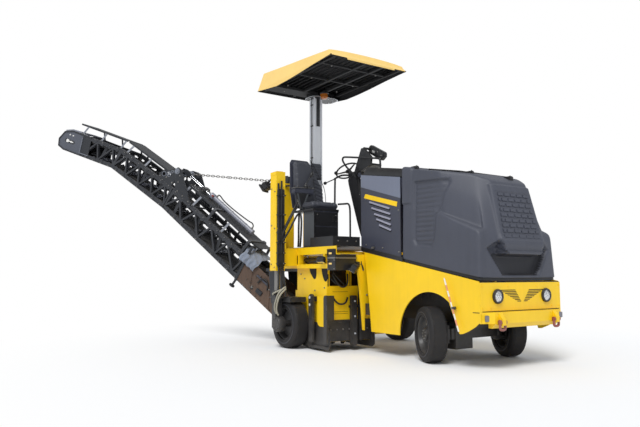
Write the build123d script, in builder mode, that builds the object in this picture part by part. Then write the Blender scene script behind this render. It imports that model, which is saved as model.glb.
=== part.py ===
"""A compact cold planer milling machine on four solid-rubber wheels.

The frame: +X runs forward (towards the hood and the headlamps), +Y to the machine's left,
+Z up.  The origin is on the ground, under the middle of the rear axle line, in the centre
plane of the front body.  All lengths are in millimetres.
"""
from build123d import *
import math
import os

os.makedirs("parts", exist_ok=True)

# ----------------------------------------------------------------- running gear
wheelbase = 1950
front_tyre_radius = 285
front_tyre_width = 195
steer_angle = -24            # the front wheels stand turned to the right
rear_tyre_radius = 295
rear_tyre_width = 210
rear_right_y = -1080
rear_left_y = 660
rim_radius = 190
rim_gap = 0.3                # tyre bead to rim
axle_height = front_tyre_radius

# ----------------------------------------------------------------- front body
body_half_width = 600
kingpin_y = body_half_width - 200
front_track_half = body_half_width - 60
skirt_thickness = 12
border_x = 880               # where the grey and yellow parts meet, at its rear end
border_z = 1158
border_slope = -0.1867
arch_radius = 460
arch_z = 260
arch_front_top = (2239, 604)   # the arch's front edge is straight
arch_front_low = (2363, 327)
skirt_bottom = 245
skirt_rear_x = 1000
front_plate_x = 2620
front_plate_top = 822
bumper_front_x = 2700
bumper_front_half = 480
bumper_bottom = 395
bumper_top = 545
headlamp_y = 363
headlamp_z = 690
headlamp_radius = 55
lug_y = 400

# ----------------------------------------------------------------- cowl and hood
cowl_rear_x = 820
cowl_front_x = 1530
cowl_wall = 8
hood_rear_x = 1550
hood_wall = 14
hood_gap = 12                # hood to skirt
hood_pin_x = 2595
hood_pin_z = 864
hood_pin_radius = 8
hood_pin_y = 350

# ----------------------------------------------------------------- platform and drum
deck_top = 1230
beam_height = 95
deck_right_y = -1000
deck_left_y = 330
deck_rear_x = -560
deck_front_x = 812
lashing_hole_radius = 16
box_front_x = 600
box_rear_x = -60
box_right_y = -945
box_left_y = -310
box_top = 970
box_wall = 12
drum_x = 270
drum_z = 335
drum_body_radius = 250
drum_tip_radius = 295
side_plate_thickness = 15
plate_gap = 0.3

# ----------------------------------------------------------------- legs and mast
column_x = -50
column_size_x = 150
column_size_y = 125
column_wall = 12
slide_gap = 0.5
right_column_y = -1242
left_column_y = 440
right_column_bottom = 940
right_column_top = 2170
left_column_bottom = 640
left_column_top = 1750

# ----------------------------------------------------------------- conveyor
slew_x = -750
slew_y = -700
slew_heading = 213           # degrees from +X, seen from above
conveyor_half_width = 250
belt_half_width = 200
mast_size = 150
mast_top = 2150
luff_z = 550
fold_s = 1660
fold_z = 2400
hoop_rise = 137
hoop_inset = 73
chord_size = 45


def border(x):
    """Height of the line where the grey hood meets the yellow body."""
    return border_z + border_slope * (x - border_x)


def block(x0, x1, y0, y1, z0, z1, mode=Mode.ADD):
    """A box between two corners, added to the part being built."""
    with Locations(((x0 + x1) / 2, (y0 + y1) / 2, (z0 + z1) / 2)):
        Box(x1 - x0, y1 - y0, z1 - z0, mode=mode)


def shaft(centre, radius, length, axis="Y", mode=Mode.ADD):
    """A round bar centred on a point, along one of the frame's axes."""
    turn = {"X": (0, 90, 0), "Y": (90, 0, 0), "Z": (0, 0, 0)}[axis]
    with Locations(Location(centre, turn)):
        Cylinder(radius, length, mode=mode)


def side_prism(points, y0, y1, mode=Mode.ADD):
    """A closed outline in the XZ plane, extruded from y0 to y1."""
    with BuildSketch(Plane.XZ.offset(-y1)) as outline:
        with BuildLine():
            Polyline(*points, close=True)
        make_face()
    extrude(outline.sketch, amount=y1 - y0, mode=mode)


def plan_prism(points, z0, z1, mode=Mode.ADD):
    """A closed outline seen from above, extruded from z0 to z1."""
    with BuildSketch(Plane.XY.offset(z0)) as outline:
        with BuildLine():
            Polyline(*points, close=True)
        make_face()
    extrude(outline.sketch, amount=z1 - z0, mode=mode)


def save(piece, name):
    """Label a finished sub-part and write it."""
    piece.part.label = name
    export_step(piece.part, f"parts/{name}.step")


# ================================================================= chassis
rail_y = 215
rail_width = 60
with BuildPart() as chassis_frame:
    for side in (-1, 1):
        y = side * rail_y
        block(880, 2600, y - rail_width / 2, y + rail_width / 2, 400, 560)
    # the counterweight between the steered wheels hangs under the axle beam, right of the middle
    block(wheelbase - 70, wheelbase + 70, -300, -50, 126, 402)
    for x0, x1 in ((880, 960), (2560, 2600)):
        block(x0, x1, -body_half_width + skirt_thickness, body_half_width - skirt_thickness, 430, 560)
    block(wheelbase - 60, wheelbase + 62, 50 - kingpin_y, kingpin_y - 50, axle_height - 55, axle_height + 55)
    block(wheelbase - 90, wheelbase + 90, -rail_y, rail_y, axle_height + 50, 420)
    for side in (-1, 1):
        shaft((wheelbase, side * kingpin_y, axle_height), 70, 110, "Z")
        shaft((wheelbase, side * kingpin_y, axle_height), 22, 170, "Z")
save(chassis_frame, "chassis_frame")

with BuildPart() as side_skirts:
    for side in (-1, 1):
        y0 = side * body_half_width if side < 0 else body_half_width - skirt_thickness
        arch_dx = math.sqrt(arch_radius ** 2 - (skirt_bottom - arch_z) ** 2)
        with BuildSketch(Plane.XZ.offset(-(y0 + skirt_thickness))):
            with BuildLine():
                Polyline(
                    (border_x, border(border_x)),
                    (front_plate_x, border(front_plate_x)),
                    (front_plate_x, 452),
                    (2567, 410),
                    (2480, 362),
                    (2400, 330),
                    (2300, skirt_bottom),
                    (skirt_rear_x, skirt_bottom),
                    (skirt_rear_x - 35, 560),
                    (border_x, border(border_x)),
                )
            make_face()
            with Locations((wheelbase, arch_z)):
                Circle(arch_radius, mode=Mode.SUBTRACT)
        extrude(amount=skirt_thickness)
        side_prism([(2232, 640), arch_front_top, arch_front_low, (2400, 330), (2480, 362), (2430, 560),
                    (2330, 640)], y0, y0 + skirt_thickness)
save(side_skirts, "side_skirts")

with BuildPart() as front_panel:
    block(front_plate_x, front_plate_x + 15, -body_half_width, body_half_width, 440, front_plate_top)
    plan_prism([(front_plate_x, -body_half_width), (bumper_front_x, -bumper_front_half),
                (bumper_front_x, bumper_front_half), (front_plate_x, body_half_width)],
               bumper_bottom + 45, bumper_top)
    side_prism([(front_plate_x, bumper_bottom + 45), (front_plate_x, bumper_bottom),
                (bumper_front_x - 40, bumper_bottom), (bumper_front_x, bumper_bottom + 45)],
               -bumper_front_half, bumper_front_half)
    for side in (-1, 1):
        y = side * lug_y
        side_prism([(bumper_front_x, 540), (bumper_front_x, 430), (bumper_front_x + 45, 425),
                    (bumper_front_x + 45, 480)], y - 25, y + 25)
        shaft((bumper_front_x + 22, y, 455), 11, 60, mode=Mode.SUBTRACT)
        y = side * hood_pin_y
        block(hood_pin_x - 15, hood_pin_x + 15, y - 12, y + 12, 740, hood_pin_z)
        block(hood_pin_x, front_plate_x, y - 12, y + 12, 740, front_plate_top - 10)
        shaft((hood_pin_x, y, hood_pin_z), 15, 24)
        shaft((hood_pin_x, y, hood_pin_z), hood_pin_radius, 90)
save(front_panel, "front_panel")

with BuildPart() as headlamps:
    for side in (-1, 1):
        centre = (front_plate_x + 15 + 12.5, side * headlamp_y, headlamp_z)
        shaft(centre, headlamp_radius, 25, "X")
save(headlamps, "headlamps")

with BuildPart() as tow_shackles:
    for side in (-1, 1):
        y = side * lug_y
        shaft((bumper_front_x + 22, y, 455), 10.7, 96)
        for edge in (-1, 1):
            x = bumper_front_x + 22
            block(x - 11, x + 11, y + edge * 37 - 9, y + edge * 37 + 9, 400, 470)
        block(bumper_front_x + 11, bumper_front_x + 33, y - 46, y + 46, 380, 402)
save(tow_shackles, "tow_shackles")

with BuildPart() as engine_block:
    block(1350, 2150, -330, 330, 560, 1450)
save(engine_block, "engine_block")

# ================================================================= cowl and hood
# cowl sections: half width and height of each corner, at the rear and at the front
cowl_corners = [
    # half_width, rear_z, front_z
    (body_half_width, border(cowl_rear_x), border(cowl_front_x)),
    (body_half_width, 1931, 1729),
    (body_half_width - 28, 2079, 1966),
    (body_half_width - 108, 2180, 2060),
]


def cowl_section(x, column, inset, floor_drop):
    """Closed cross-section of the cowl at one end, drawn inset by a wall."""
    half = []
    for number, corner in enumerate(cowl_corners):
        height = corner[column]
        if number == 0:
            height -= floor_drop
        if number == len(cowl_corners) - 1:
            height -= inset
        if number == len(cowl_corners) - 2:
            height -= inset * 0.6
        half.append((corner[0] - inset, height))
    points = half + [(-y, z) for y, z in reversed(half)]
    with BuildSketch(Plane.YZ.offset(x)) as section:
        with BuildLine():
            Polyline(*points, close=True)
        make_face()
    return section.sketch


with BuildPart() as cowl_panels:
    loft([cowl_section(cowl_rear_x, 1, 0, 0), cowl_section(cowl_front_x, 2, 0, 0)], ruled=True)
    loft([cowl_section(cowl_rear_x + cowl_wall, 1, cowl_wall, 60),
          cowl_section(cowl_front_x + 40, 2, cowl_wall, 60)], ruled=True, mode=Mode.SUBTRACT)
save(cowl_panels, "cowl_panels")

# hood plan sections: distance forward and half width of each corner, low and high.
# The full lower body ends at a sloping ledge, and a narrower body tapers up from there.
lower_low_z = 800
lower_high_z = 1600
lower_hood = [
    # low_x, low_half, high_x, high_half
    (hood_rear_x, body_half_width, hood_rear_x, body_half_width - 16),
    (2304, body_half_width, 2238, body_half_width - 19),
    (2614, body_half_width - 22, 2587, body_half_width - 79),
    (2633, body_half_width - 300, 2613, body_half_width - 316),
]
upper_low_z = 1150
upper_high_z = 2080
upper_hood = [
    # low_x, low_half, high_x, high_half
    (hood_rear_x, body_half_width - 6, hood_rear_x, body_half_width - 26),
    (2230, body_half_width - 12, 2040, body_half_width - 63),
    (2618, body_half_width - 108, 2328, body_half_width - 291),
    (2676, body_half_width - 310, 2453, body_half_width - 350),
]
hood_reach_x = 2900          # beyond the hood's front
hood_back_x = hood_rear_x - 60
ledge = [(hood_back_x, 1782), (hood_reach_x, 1195)]
roof = [(hood_back_x, 2075), (2340, 1915), (2480, 1850), (hood_reach_x, 1572)]


def hood_section(table, z, pick_x, pick_y, inset, back):
    """Closed plan section of one body of the hood at one height, inset by the wall."""
    half = []
    for number, corner in enumerate(table):
        x = corner[pick_x] - (inset if number > 1 else 0)
        if number == 1:
            x -= inset * 0.4
        if number == 0:
            x -= back
        half.append((x, corner[pick_y] - inset))
    points = half + [(x, -y) for x, y in reversed(half)]
    with BuildSketch(Plane.XY.offset(z)) as section:
        with BuildLine():
            Polyline(*points, close=True)
        make_face()
    return section.sketch


def hood_body(table, low_z, high_z, top, inset, back):
    """One body of the hood between the border line and its top line."""
    floor = [(x, border(x) + hood_gap - (40 if inset else 0)) for x in (hood_reach_x, hood_back_x)]
    with BuildPart() as body:
        loft([hood_section(table, low_z, 0, 1, inset, back), hood_section(table, high_z, 2, 3, inset, back)],
             ruled=True)
        side_prism([(x, z - inset) for x, z in top] + floor, -body_half_width, body_half_width,
                   mode=Mode.INTERSECT)
    return body.part


recess_floor_y = body_half_width - 40
nose_floor_x = 2585
nose_lip_x = 2694            # front of the raised middle panel, at its bottom
nose_lip_z = 1087
nose_pad = 18                # the raised panel stands out of the upper body


def louvre_recess(grown):
    """Outline of the shallow louvred recess in the hood's side, seen from the side."""
    return [(1705 - grown, 1885 + grown), (1705 - grown, 1260 - grown), (1745, 1200 - grown),
            (1990 + grown, 1180 - grown), (2045 + grown, 1500), (2060 + grown, 1860 + grown)]


def mirrored(half):
    """A half outline seen from the front, closed by its mirror image."""
    return half + [(-y, z) for y, z in reversed(half)]


def nose_recess(grown):
    """Outline of the deep recess low in the hood's front, seen from the front."""
    return mirrored([(262 + grown, 883 - grown), (463 + grown, 1149), (330, 1165 + grown),
                     (250, nose_lip_z + (grown and 10))])


def hood_front(z):
    """Distance forward of the upper body's flat front at a height."""
    share = (z - upper_low_z) / (upper_high_z - upper_low_z)
    return upper_hood[-1][0] + share * (upper_hood[-1][2] - upper_hood[-1][0])


def recess_prism(outline, side, depth_y, mode):
    """A prism from a depth outwards through one side of the hood."""
    low = min(side * depth_y, side * (body_half_width + 100))
    side_prism(outline, low, low + body_half_width + 100 - depth_y, mode)


def front_prism(outline, start_x, mode=Mode.ADD):
    """A prism from a depth forwards through the hood's front."""
    with BuildSketch(Plane.YZ.offset(start_x)) as face:
        with BuildLine():
            Polyline(*outline, close=True)
        make_face()
    extrude(face.sketch, amount=300, mode=mode)


def nose_panel(inset):
    """The raised middle panel of the hood's front, drawn inset by the wall."""
    with BuildPart() as panel:
        front_prism(mirrored([(250 - inset, nose_lip_z + inset), (318 - inset, 1230),
                              (290 - inset, 1790 - inset)]), nose_floor_x - hood_wall + 4)
        side_prism([(nose_floor_x - 60, 1000), (nose_lip_x - inset, 1000), (nose_lip_x - inset, upper_low_z),
                    (hood_front(1790) + nose_pad - inset, 1790), (nose_floor_x - 60, 1790)],
                   -400, 400, mode=Mode.INTERSECT)
        side_prism([(nose_floor_x - 60, 1000), (hood_front(1250) - hood_wall, 1250),
                    (hood_front(1800) - hood_wall, 1800), (nose_floor_x - 300, 1800)],
                   -400, 400, mode=Mode.SUBTRACT)
    return panel.part


with BuildPart() as hood_hollow:
    add(hood_body(lower_hood, lower_low_z, lower_high_z, ledge, hood_wall, 60))
    add(hood_body(upper_hood, upper_low_z + hood_wall, upper_high_z, roof, hood_wall, 60))
    for side in (-1, 1):
        recess_prism(louvre_recess(10), side, recess_floor_y - hood_wall, Mode.SUBTRACT)
    front_prism(nose_recess(10), nose_floor_x - hood_wall, Mode.SUBTRACT)

with BuildPart() as hood_shell:
    add(hood_body(lower_hood, lower_low_z, lower_high_z, ledge, 0, 0))
    add(hood_body(upper_hood, upper_low_z, upper_high_z, roof, 0, 0))
    add(hood_hollow.part, mode=Mode.SUBTRACT)
    for side in (-1, 1):
        recess_prism(louvre_recess(0), side, recess_floor_y, Mode.SUBTRACT)
    front_prism(nose_recess(0), nose_floor_x, Mode.SUBTRACT)
    add(nose_panel(0))
    add(nose_panel(hood_wall), mode=Mode.SUBTRACT)
    for side in (-1, 1):
        y = side * (hood_pin_y + 34)
        with BuildSketch(Plane.XZ.offset(-(y + 8))) as lug:
            with BuildLine():
                Polyline((hood_pin_x - 14, hood_pin_z), (hood_pin_x + 14, hood_pin_z - 8),
                         (hood_pin_x + 27, 872), (hood_pin_x + 25, 960), (hood_pin_x - 14, 900), close=True)
            make_face()
            with Locations((hood_pin_x, hood_pin_z)):
                Circle(hood_pin_radius + 10)
                Circle(hood_pin_radius + 0.3, mode=Mode.SUBTRACT)
        extrude(lug.sketch, amount=16)
        # a slot in the front wall, where the fixed bracket passes when the hood tips
        y = side * hood_pin_y
        block(hood_pin_x + 5, hood_reach_x, y - 20, y + 20, 800, 888, mode=Mode.SUBTRACT)
save(hood_shell, "hood_shell")

# ================================================================= front wheels
def tyre(centre, turn, outer_radius, width):
    """A solid-rubber tyre: a thick ring with rounded shoulders and shallow side grooves."""
    plane = Plane(origin=centre, x_dir=(math.cos(math.radians(turn)), math.sin(math.radians(turn)), 0),
                  z_dir=(-math.sin(math.radians(turn)), math.cos(math.radians(turn)), 0))
    with BuildSketch(plane.offset(-width / 2)) as ring:
        Circle(outer_radius)
        Circle(rim_radius + rim_gap, mode=Mode.SUBTRACT)
    extrude(ring.sketch, amount=width)


def rim(centre, turn, width, hub_side):
    """A pressed rim: a band, a dished disc, a hub and a ring of studs on the outer side."""
    plane = Plane(origin=centre, x_dir=(math.cos(math.radians(turn)), math.sin(math.radians(turn)), 0),
                  z_dir=(-hub_side * math.sin(math.radians(turn)), hub_side * math.cos(math.radians(turn)), 0))
    with BuildSketch(plane.offset(-width / 2)) as band:
        Circle(rim_radius)
        Circle(rim_radius - 14, mode=Mode.SUBTRACT)
    extrude(band.sketch, amount=width)
    with BuildSketch(plane.offset(-12)) as disc:
        Circle(rim_radius - 8)
    extrude(disc.sketch, amount=24)
    with BuildSketch(plane.offset(-28)) as hub:
        Circle(78)
    extrude(hub.sketch, amount=100)
    with BuildSketch(plane.offset(12)) as studs:
        with PolarLocations(115, 8):
            Circle(11)
    extrude(studs.sketch, amount=18)


front_rim_width = 160
for side, word in ((-1, "right"), (1, "left")):
    turn = math.radians(steer_angle)
    offset = front_track_half - kingpin_y
    centre = (wheelbase - side * offset * math.sin(turn),
              side * kingpin_y + side * offset * math.cos(turn), axle_height)
    outward = (-side * math.sin(turn), side * math.cos(turn), 0)

    with BuildPart() as front_tyre:
        tyre(centre, steer_angle, front_tyre_radius, front_tyre_width)
        fillet(front_tyre.edges().filter_by(GeomType.CIRCLE).group_by(SortBy.RADIUS)[-1], 22)
    save(front_tyre, f"front_tyre_{word}")

    with BuildPart() as front_rim:
        rim(centre, steer_angle, front_rim_width, side)
        bore = Plane(origin=centre, z_dir=outward)
        with BuildSketch(bore.offset(-60)) as hole:
            Circle(30.3)
        extrude(hole.sketch, amount=90, mode=Mode.SUBTRACT)
    save(front_rim, f"front_rim_{word}")

    with BuildPart() as knuckle:
        low = Plane(origin=(wheelbase, side * kingpin_y, axle_height), z_dir=(0, 0, 1),
                    x_dir=(math.cos(turn), math.sin(turn), 0))
        for lift, height in ((60, 30), (-90, 30)):
            with BuildSketch(low.offset(lift)) as ear:
                with Locations((0, side * 30)):
                    Rectangle(110, 140)
                Circle(22.3, mode=Mode.SUBTRACT)
            extrude(ear.sketch, amount=height)
        with BuildSketch(low.offset(-90)) as cheek:
            with Locations((0, side * 88)):
                Rectangle(110, 24)
        extrude(cheek.sketch, amount=180)
        stub = Plane(origin=(wheelbase, side * kingpin_y, axle_height), z_dir=outward)
        with BuildSketch(stub.offset(95)) as spindle:
            Circle(30)
        extrude(spindle.sketch, amount=offset - 95 + 25)
    save(knuckle, f"knuckle_{word}")

# ================================================================= rear legs and wheels
rear_rim_width = 160
for word, wheel_y, column_y, reach in (
    ("right", rear_right_y, right_column_y, 1450),
    ("left", rear_left_y, left_column_y, 1090),
):
    centre = (0, wheel_y, rear_tyre_radius)
    with BuildPart() as rear_tyre:
        tyre(centre, 0, rear_tyre_radius, rear_tyre_width)
        fillet(rear_tyre.edges().filter_by(GeomType.CIRCLE).group_by(SortBy.RADIUS)[-1], 22)
    save(rear_tyre, f"rear_tyre_{word}")

    with BuildPart() as rear_rim:
        rim(centre, 0, rear_rim_width, 1)
        shaft((0, wheel_y - 45, rear_tyre_radius), 40.3, 91, mode=Mode.SUBTRACT)
    save(rear_rim, f"rear_rim_{word}")

    with BuildPart() as leg:
        half_x = column_size_x / 2 - column_wall - slide_gap
        half_y = column_size_y / 2 - column_wall - slide_gap
        block(column_x - half_x, column_x + half_x, column_y - half_y, column_y + half_y, 230, reach)
        axle_start = column_y + half_y - 40
        axle_end = wheel_y
        shaft((0, (axle_start + axle_end) / 2, rear_tyre_radius), 40, axle_end - axle_start)
        shaft((0, column_y, rear_tyre_radius), 95, 2 * half_y)
        if word == "right":
            guard_z = 2 * rear_tyre_radius + 16
            block(-170, 200, -1190, -975, guard_z, guard_z + 16)
            block(-170, 60, column_y - half_y, -1180, guard_z, guard_z + 16)
            block(184, 200, -1190, -975, guard_z - 46, guard_z + 16)
    save(leg, f"leg_{word}")

with BuildPart() as leg_guides:
    for column_y, low, high in ((right_column_y, right_column_bottom, right_column_top),
                                (left_column_y, left_column_bottom, left_column_top)):
        hx = column_size_x / 2
        hy = column_size_y / 2
        block(column_x - hx, column_x + hx, column_y - hy, column_y + hy, low, high)
        block(column_x - hx + column_wall, column_x + hx - column_wall,
              column_y - hy + column_wall, column_y + hy - column_wall,
              low - 10, high - 10, mode=Mode.SUBTRACT)
    rear_x = column_x - column_size_x / 2
    side_prism([(rear_x + 2, right_column_top), (rear_x - 58, right_column_top), (rear_x - 52, 2120),
                (rear_x + 2, 1880)], right_column_y - 30, right_column_y + 12)
save(leg_guides, "leg_guides")

# ================================================================= platform and drum box
bulkhead_x = 868
with BuildPart() as rear_frame:
    # two yellow side beams on the right, one above the other
    for low, high in ((deck_top - beam_height, deck_top - 6), (box_top, box_top + 50)):
        block(-120, deck_front_x + 56, deck_right_y, deck_right_y + 12, low, high)
        block(deck_rear_x, -120, deck_right_y, deck_right_y + 12, low, high)
    block(deck_rear_x + 12, deck_front_x, deck_right_y + 12, -560, deck_top - beam_height,
          deck_top - beam_height + 12)
    # posts between the beams
    for x in (-110, 40, 600, 828):
        block(x, x + 40, deck_right_y, deck_right_y + 60, box_top + 50, deck_top - beam_height)
    # bracket that carries the right leg guide
    block(column_x - 70, column_x + 70, right_column_y + column_size_y / 2, deck_right_y, 1000, 1220)
    block(box_rear_x, box_front_x, deck_right_y, -900, box_top, box_top + 12)
save(rear_frame, "rear_frame")

with BuildPart() as bulkhead:
    # behind the front body, flared out to the platform
    with BuildSketch(Plane.YZ.offset(bulkhead_x)) as plate:
        with BuildLine():
            Polyline((-body_half_width, 250), (-body_half_width - 40, 250), (-body_half_width - 140, 420),
                     (deck_right_y, 960), (deck_right_y, 1130), (body_half_width, 1130),
                     (body_half_width, 560), (-body_half_width, 560), close=True)
        make_face()
    extrude(plate.sketch, amount=12)
save(bulkhead, "bulkhead")

with BuildPart() as left_frame:
    block(deck_rear_x + 12, cowl_rear_x, 560, 572, 860, deck_top - 6)
    block(cowl_rear_x - 10, bulkhead_x, 560, 572, 860, 1130)
    for x0, x1 in ((deck_rear_x + 12, column_x - 75), (column_x + 75, bulkhead_x)):
        block(x0, x1, 300, 572, deck_top - beam_height, deck_top - beam_height + 12)
    block(column_x - 75, column_x + 75, left_column_y + column_size_y / 2, 572, 900, 1130)
save(left_frame, "left_frame")

with BuildPart() as rear_wall:
    # the wall, and the bracket of the conveyor's slew pin
    block(deck_rear_x, deck_rear_x + 12, deck_right_y + 12, 572, 1000, deck_top - 6)
    block(deck_rear_x - 260, deck_rear_x, slew_y - 130, slew_y + 130, 1000, 1060)
    block(slew_x - 160, slew_x, slew_y - 130, slew_y + 130, 1000, 1060)
    shaft((slew_x, slew_y, 1030), 45.3, 80, "Z", mode=Mode.SUBTRACT)
    # lashing eyes on the rear corners
    for y in (deck_right_y + 12, 552):
        block(deck_rear_x - 60, deck_rear_x, y, y + 20, 1010, 1110)
        shaft((deck_rear_x - 30, y + 10, 1060), lashing_hole_radius, 40, mode=Mode.SUBTRACT)
save(rear_wall, "rear_wall")

with BuildPart() as rear_upright:
    block(deck_rear_x - 12, deck_rear_x, -540, -470, 1000, 1750)
save(rear_upright, "rear_upright")

with BuildPart() as platform_deck:
    block(deck_rear_x, deck_front_x, deck_right_y, deck_left_y, deck_top - 6, deck_top)
    block(330, deck_front_x, deck_right_y, deck_right_y + 6, deck_top, deck_top + 110)
save(platform_deck, "platform_deck")

with BuildPart() as drum_housing:
    # right and left walls, roof, front with an opening, rear with the discharge gap
    block(box_rear_x, box_front_x, box_right_y, box_right_y + box_wall, 260, box_top)
    block(box_rear_x, box_front_x, box_left_y - box_wall, box_left_y, 260, box_top)
    block(box_rear_x, box_front_x, box_right_y, box_left_y, 690, 702)
    block(box_rear_x, box_front_x, box_right_y, box_left_y, box_top - 10, box_top)
    block(box_front_x - box_wall, box_front_x, box_right_y, box_left_y, 110, 760)
    block(box_rear_x, box_rear_x + box_wall, box_right_y, box_left_y, 640, 702)
    for y in (box_right_y, -628, box_left_y - 40):
        block(box_front_x - 50, box_front_x, y, y + 40, 740, box_top)
    # drive housing on the left, and the drum's bearings
    block(60, 560, box_left_y + 25, -35, 160, 620)
    block(60, 560, box_left_y, box_left_y + 25, 500, 620)
    shaft((drum_x, box_left_y - box_wall - 10, drum_z), 60, 40)
    shaft((drum_x, box_right_y + box_wall + 10, drum_z), 60, 40)
    for side_y in (box_left_y - box_wall - 10, box_right_y + box_wall + 10):
        shaft((drum_x, side_y, drum_z), 35.3, 41, mode=Mode.SUBTRACT)
    # ties to the front body and to the left frame
    block(box_front_x - 10, 868, -330, -280, 550, 700)
    block(540, 868, -290, -35, 400, 560)
    block(100, 160, box_left_y, 560, 900, box_top)
    for y in (box_right_y, box_left_y - box_wall):
        block(box_rear_x - 40, box_rear_x, y, y + box_wall, 260, 700)
save(drum_housing, "drum_housing")

# milling drum: a tube with a helix of tool holders that meet in the middle
drum_low_y = box_right_y + 42
drum_high_y = box_left_y - 42
tool_rows = 8
tools_per_row = 5
with BuildPart() as milling_drum:
    middle = (drum_low_y + drum_high_y) / 2
    shaft((drum_x, middle, drum_z), drum_body_radius - 50, drum_high_y - drum_low_y)
    shaft((drum_x, middle, drum_z), 35, drum_high_y - drum_low_y + 50)
    for row in range(tool_rows):
        for number in range(tools_per_row):
            share = (number + 0.5) / tools_per_row
            across = drum_low_y + share * (drum_high_y - drum_low_y)
            angle = 360 * row / tool_rows + 70 * abs(share - 0.5)
            spot = Plane(origin=(drum_x, across, drum_z),
                         x_dir=(math.cos(math.radians(angle)), 0, math.sin(math.radians(angle))),
                         z_dir=(0, 1, 0))
            with BuildSketch(spot.offset(-22)) as holder:
                with BuildLine():
                    Polyline((150, -40), (drum_body_radius, -20), (drum_tip_radius, 22),
                             (drum_tip_radius - 8, 34), (drum_body_radius - 20, 38), (150, 60), close=True)
                make_face()
            extrude(holder.sketch, amount=44)
save(milling_drum, "milling_drum")

# side plates ride in guides on the drum box
for word, y0 in (("right", box_right_y - plate_gap - side_plate_thickness), ("left", box_left_y + plate_gap)):
    y1 = y0 + side_plate_thickness
    with BuildPart() as side_plate:
        side_prism([(60, 60), (110, 28), (640, 28), (680, 60), (680, 250), (600, 330), (60, 330)], y0, y1)
        if word == "right":
            block(310, 690, y0 - 22, y0, 28, 62)
    save(side_plate, f"side_plate_{word}")

with BuildPart() as plate_guides:
    for x in (340, 640):
        block(x, x + 60, box_right_y - 65, box_right_y - 46, 100, 640)
        block(x, x + 60, box_right_y - 65, box_right_y, 560, 640)
    block(box_front_x, 700, box_right_y - 20, box_right_y, 560, 640)
    block(box_front_x, box_front_x + 70, -620, -550, 60, 900)
save(plate_guides, "plate_guides")

with BuildPart() as scraper:
    block(box_rear_x - 30, box_rear_x - 6, box_right_y + box_wall + 0.3, box_left_y - box_wall - 0.3, 60, 600)
save(scraper, "scraper")

# ================================================================= conveyor
heading = math.radians(slew_heading)
out_x = math.cos(heading)
out_y = math.sin(heading)
# local x runs outwards from the slew axis, local y is up, the normal points to the far side
conveyor_plane = Plane(origin=(slew_x, slew_y, 0), x_dir=(out_x, out_y, 0), z_dir=(out_y, -out_x, 0))

# stations of the two chords: the lower point and the upper point of each cross line
tail = ((-200, 125), (-200, 584))
fold = ((1930, 1874), (1740, 2163))
knee = ((2920, 2541), (2720, 2824))
head = ((3930, 2906), (3720, 3205))
fold_gap = 10


def between(line, share):
    """A point on a cross line: 0 at the lower chord, 1 at the upper chord."""
    (s0, z0), (s1, z1) = line
    return (s0 + share * (s1 - s0), z0 + share * (z1 - z0))


def cross_line(start, end, share):
    """The cross line part of the way from one station to the next."""
    return tuple(
        (a[0] + share * (b[0] - a[0]), a[1] + share * (b[1] - a[1])) for a, b in zip(start, end)
    )


def moved(line, distance):
    """A cross line shifted along the conveyor."""
    return tuple((s + distance, z + distance * 0.75) for s, z in line)


def boom_prism(points, n0, n1, mode=Mode.ADD):
    """A closed outline in the conveyor's upright plane, extruded across it."""
    with BuildSketch(conveyor_plane.offset(n0)) as outline:
        with BuildLine():
            Polyline(*points, close=True)
        make_face()
    extrude(outline.sketch, amount=n1 - n0, mode=mode)


def boom_pin(s, z, radius, n0, n1, mode=Mode.ADD):
    """A round bar across the conveyor."""
    with BuildSketch(conveyor_plane.offset(n0)) as outline:
        with Locations((s, z)):
            Circle(radius)
    extrude(outline.sketch, amount=n1 - n0, mode=mode)


def strip(lines, low, high, n0, n1, mode=Mode.ADD):
    """A band that follows the cross lines between two shares of their height."""
    points = [between(line, low) for line in lines] + [between(line, high) for line in reversed(lines)]
    boom_prism(points, n0, n1, mode)


def shrunk(triangle, gap):
    """A triangle drawn inwards by a gap on all three sides."""
    sides = [math.dist(triangle[(i + 1) % 3], triangle[(i + 2) % 3]) for i in range(3)]
    total = sum(sides)
    centre = tuple(sum(side * corner[k] for side, corner in zip(sides, triangle)) / total for k in (0, 1))
    (ax, ay), (bx, by), (cx, cy) = triangle
    area = abs((bx - ax) * (cy - ay) - (cx - ax) * (by - ay)) / 2
    scale = 1 - gap / (2 * area / total)
    return [tuple(centre[k] + scale * (corner[k] - centre[k]) for k in (0, 1)) for corner in triangle]


lattice_bar = 26
chord_share = 0.13


def lattice(start, end, bays, n0, n1):
    """One side frame between two cross lines: two chords joined by a zigzag of bars."""
    strip([start, end], 0, 1, n0, n1)
    low = [between(cross_line(start, end, i / bays), chord_share) for i in range(bays + 1)]
    high = [between(cross_line(start, end, (i + 0.5) / bays), 1 - chord_share) for i in range(bays)]
    high = ([between(cross_line(start, end, 0.02), 1 - chord_share)] + high
            + [between(cross_line(start, end, 0.98), 1 - chord_share)])
    windows = [(low[i], low[i + 1], high[i + 1]) for i in range(bays)]
    windows += [(high[i], high[i + 1], low[i]) for i in range(bays + 1)]
    for window in windows:
        boom_prism(shrunk(window, lattice_bar / 2), n0, n1, mode=Mode.SUBTRACT)


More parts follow.
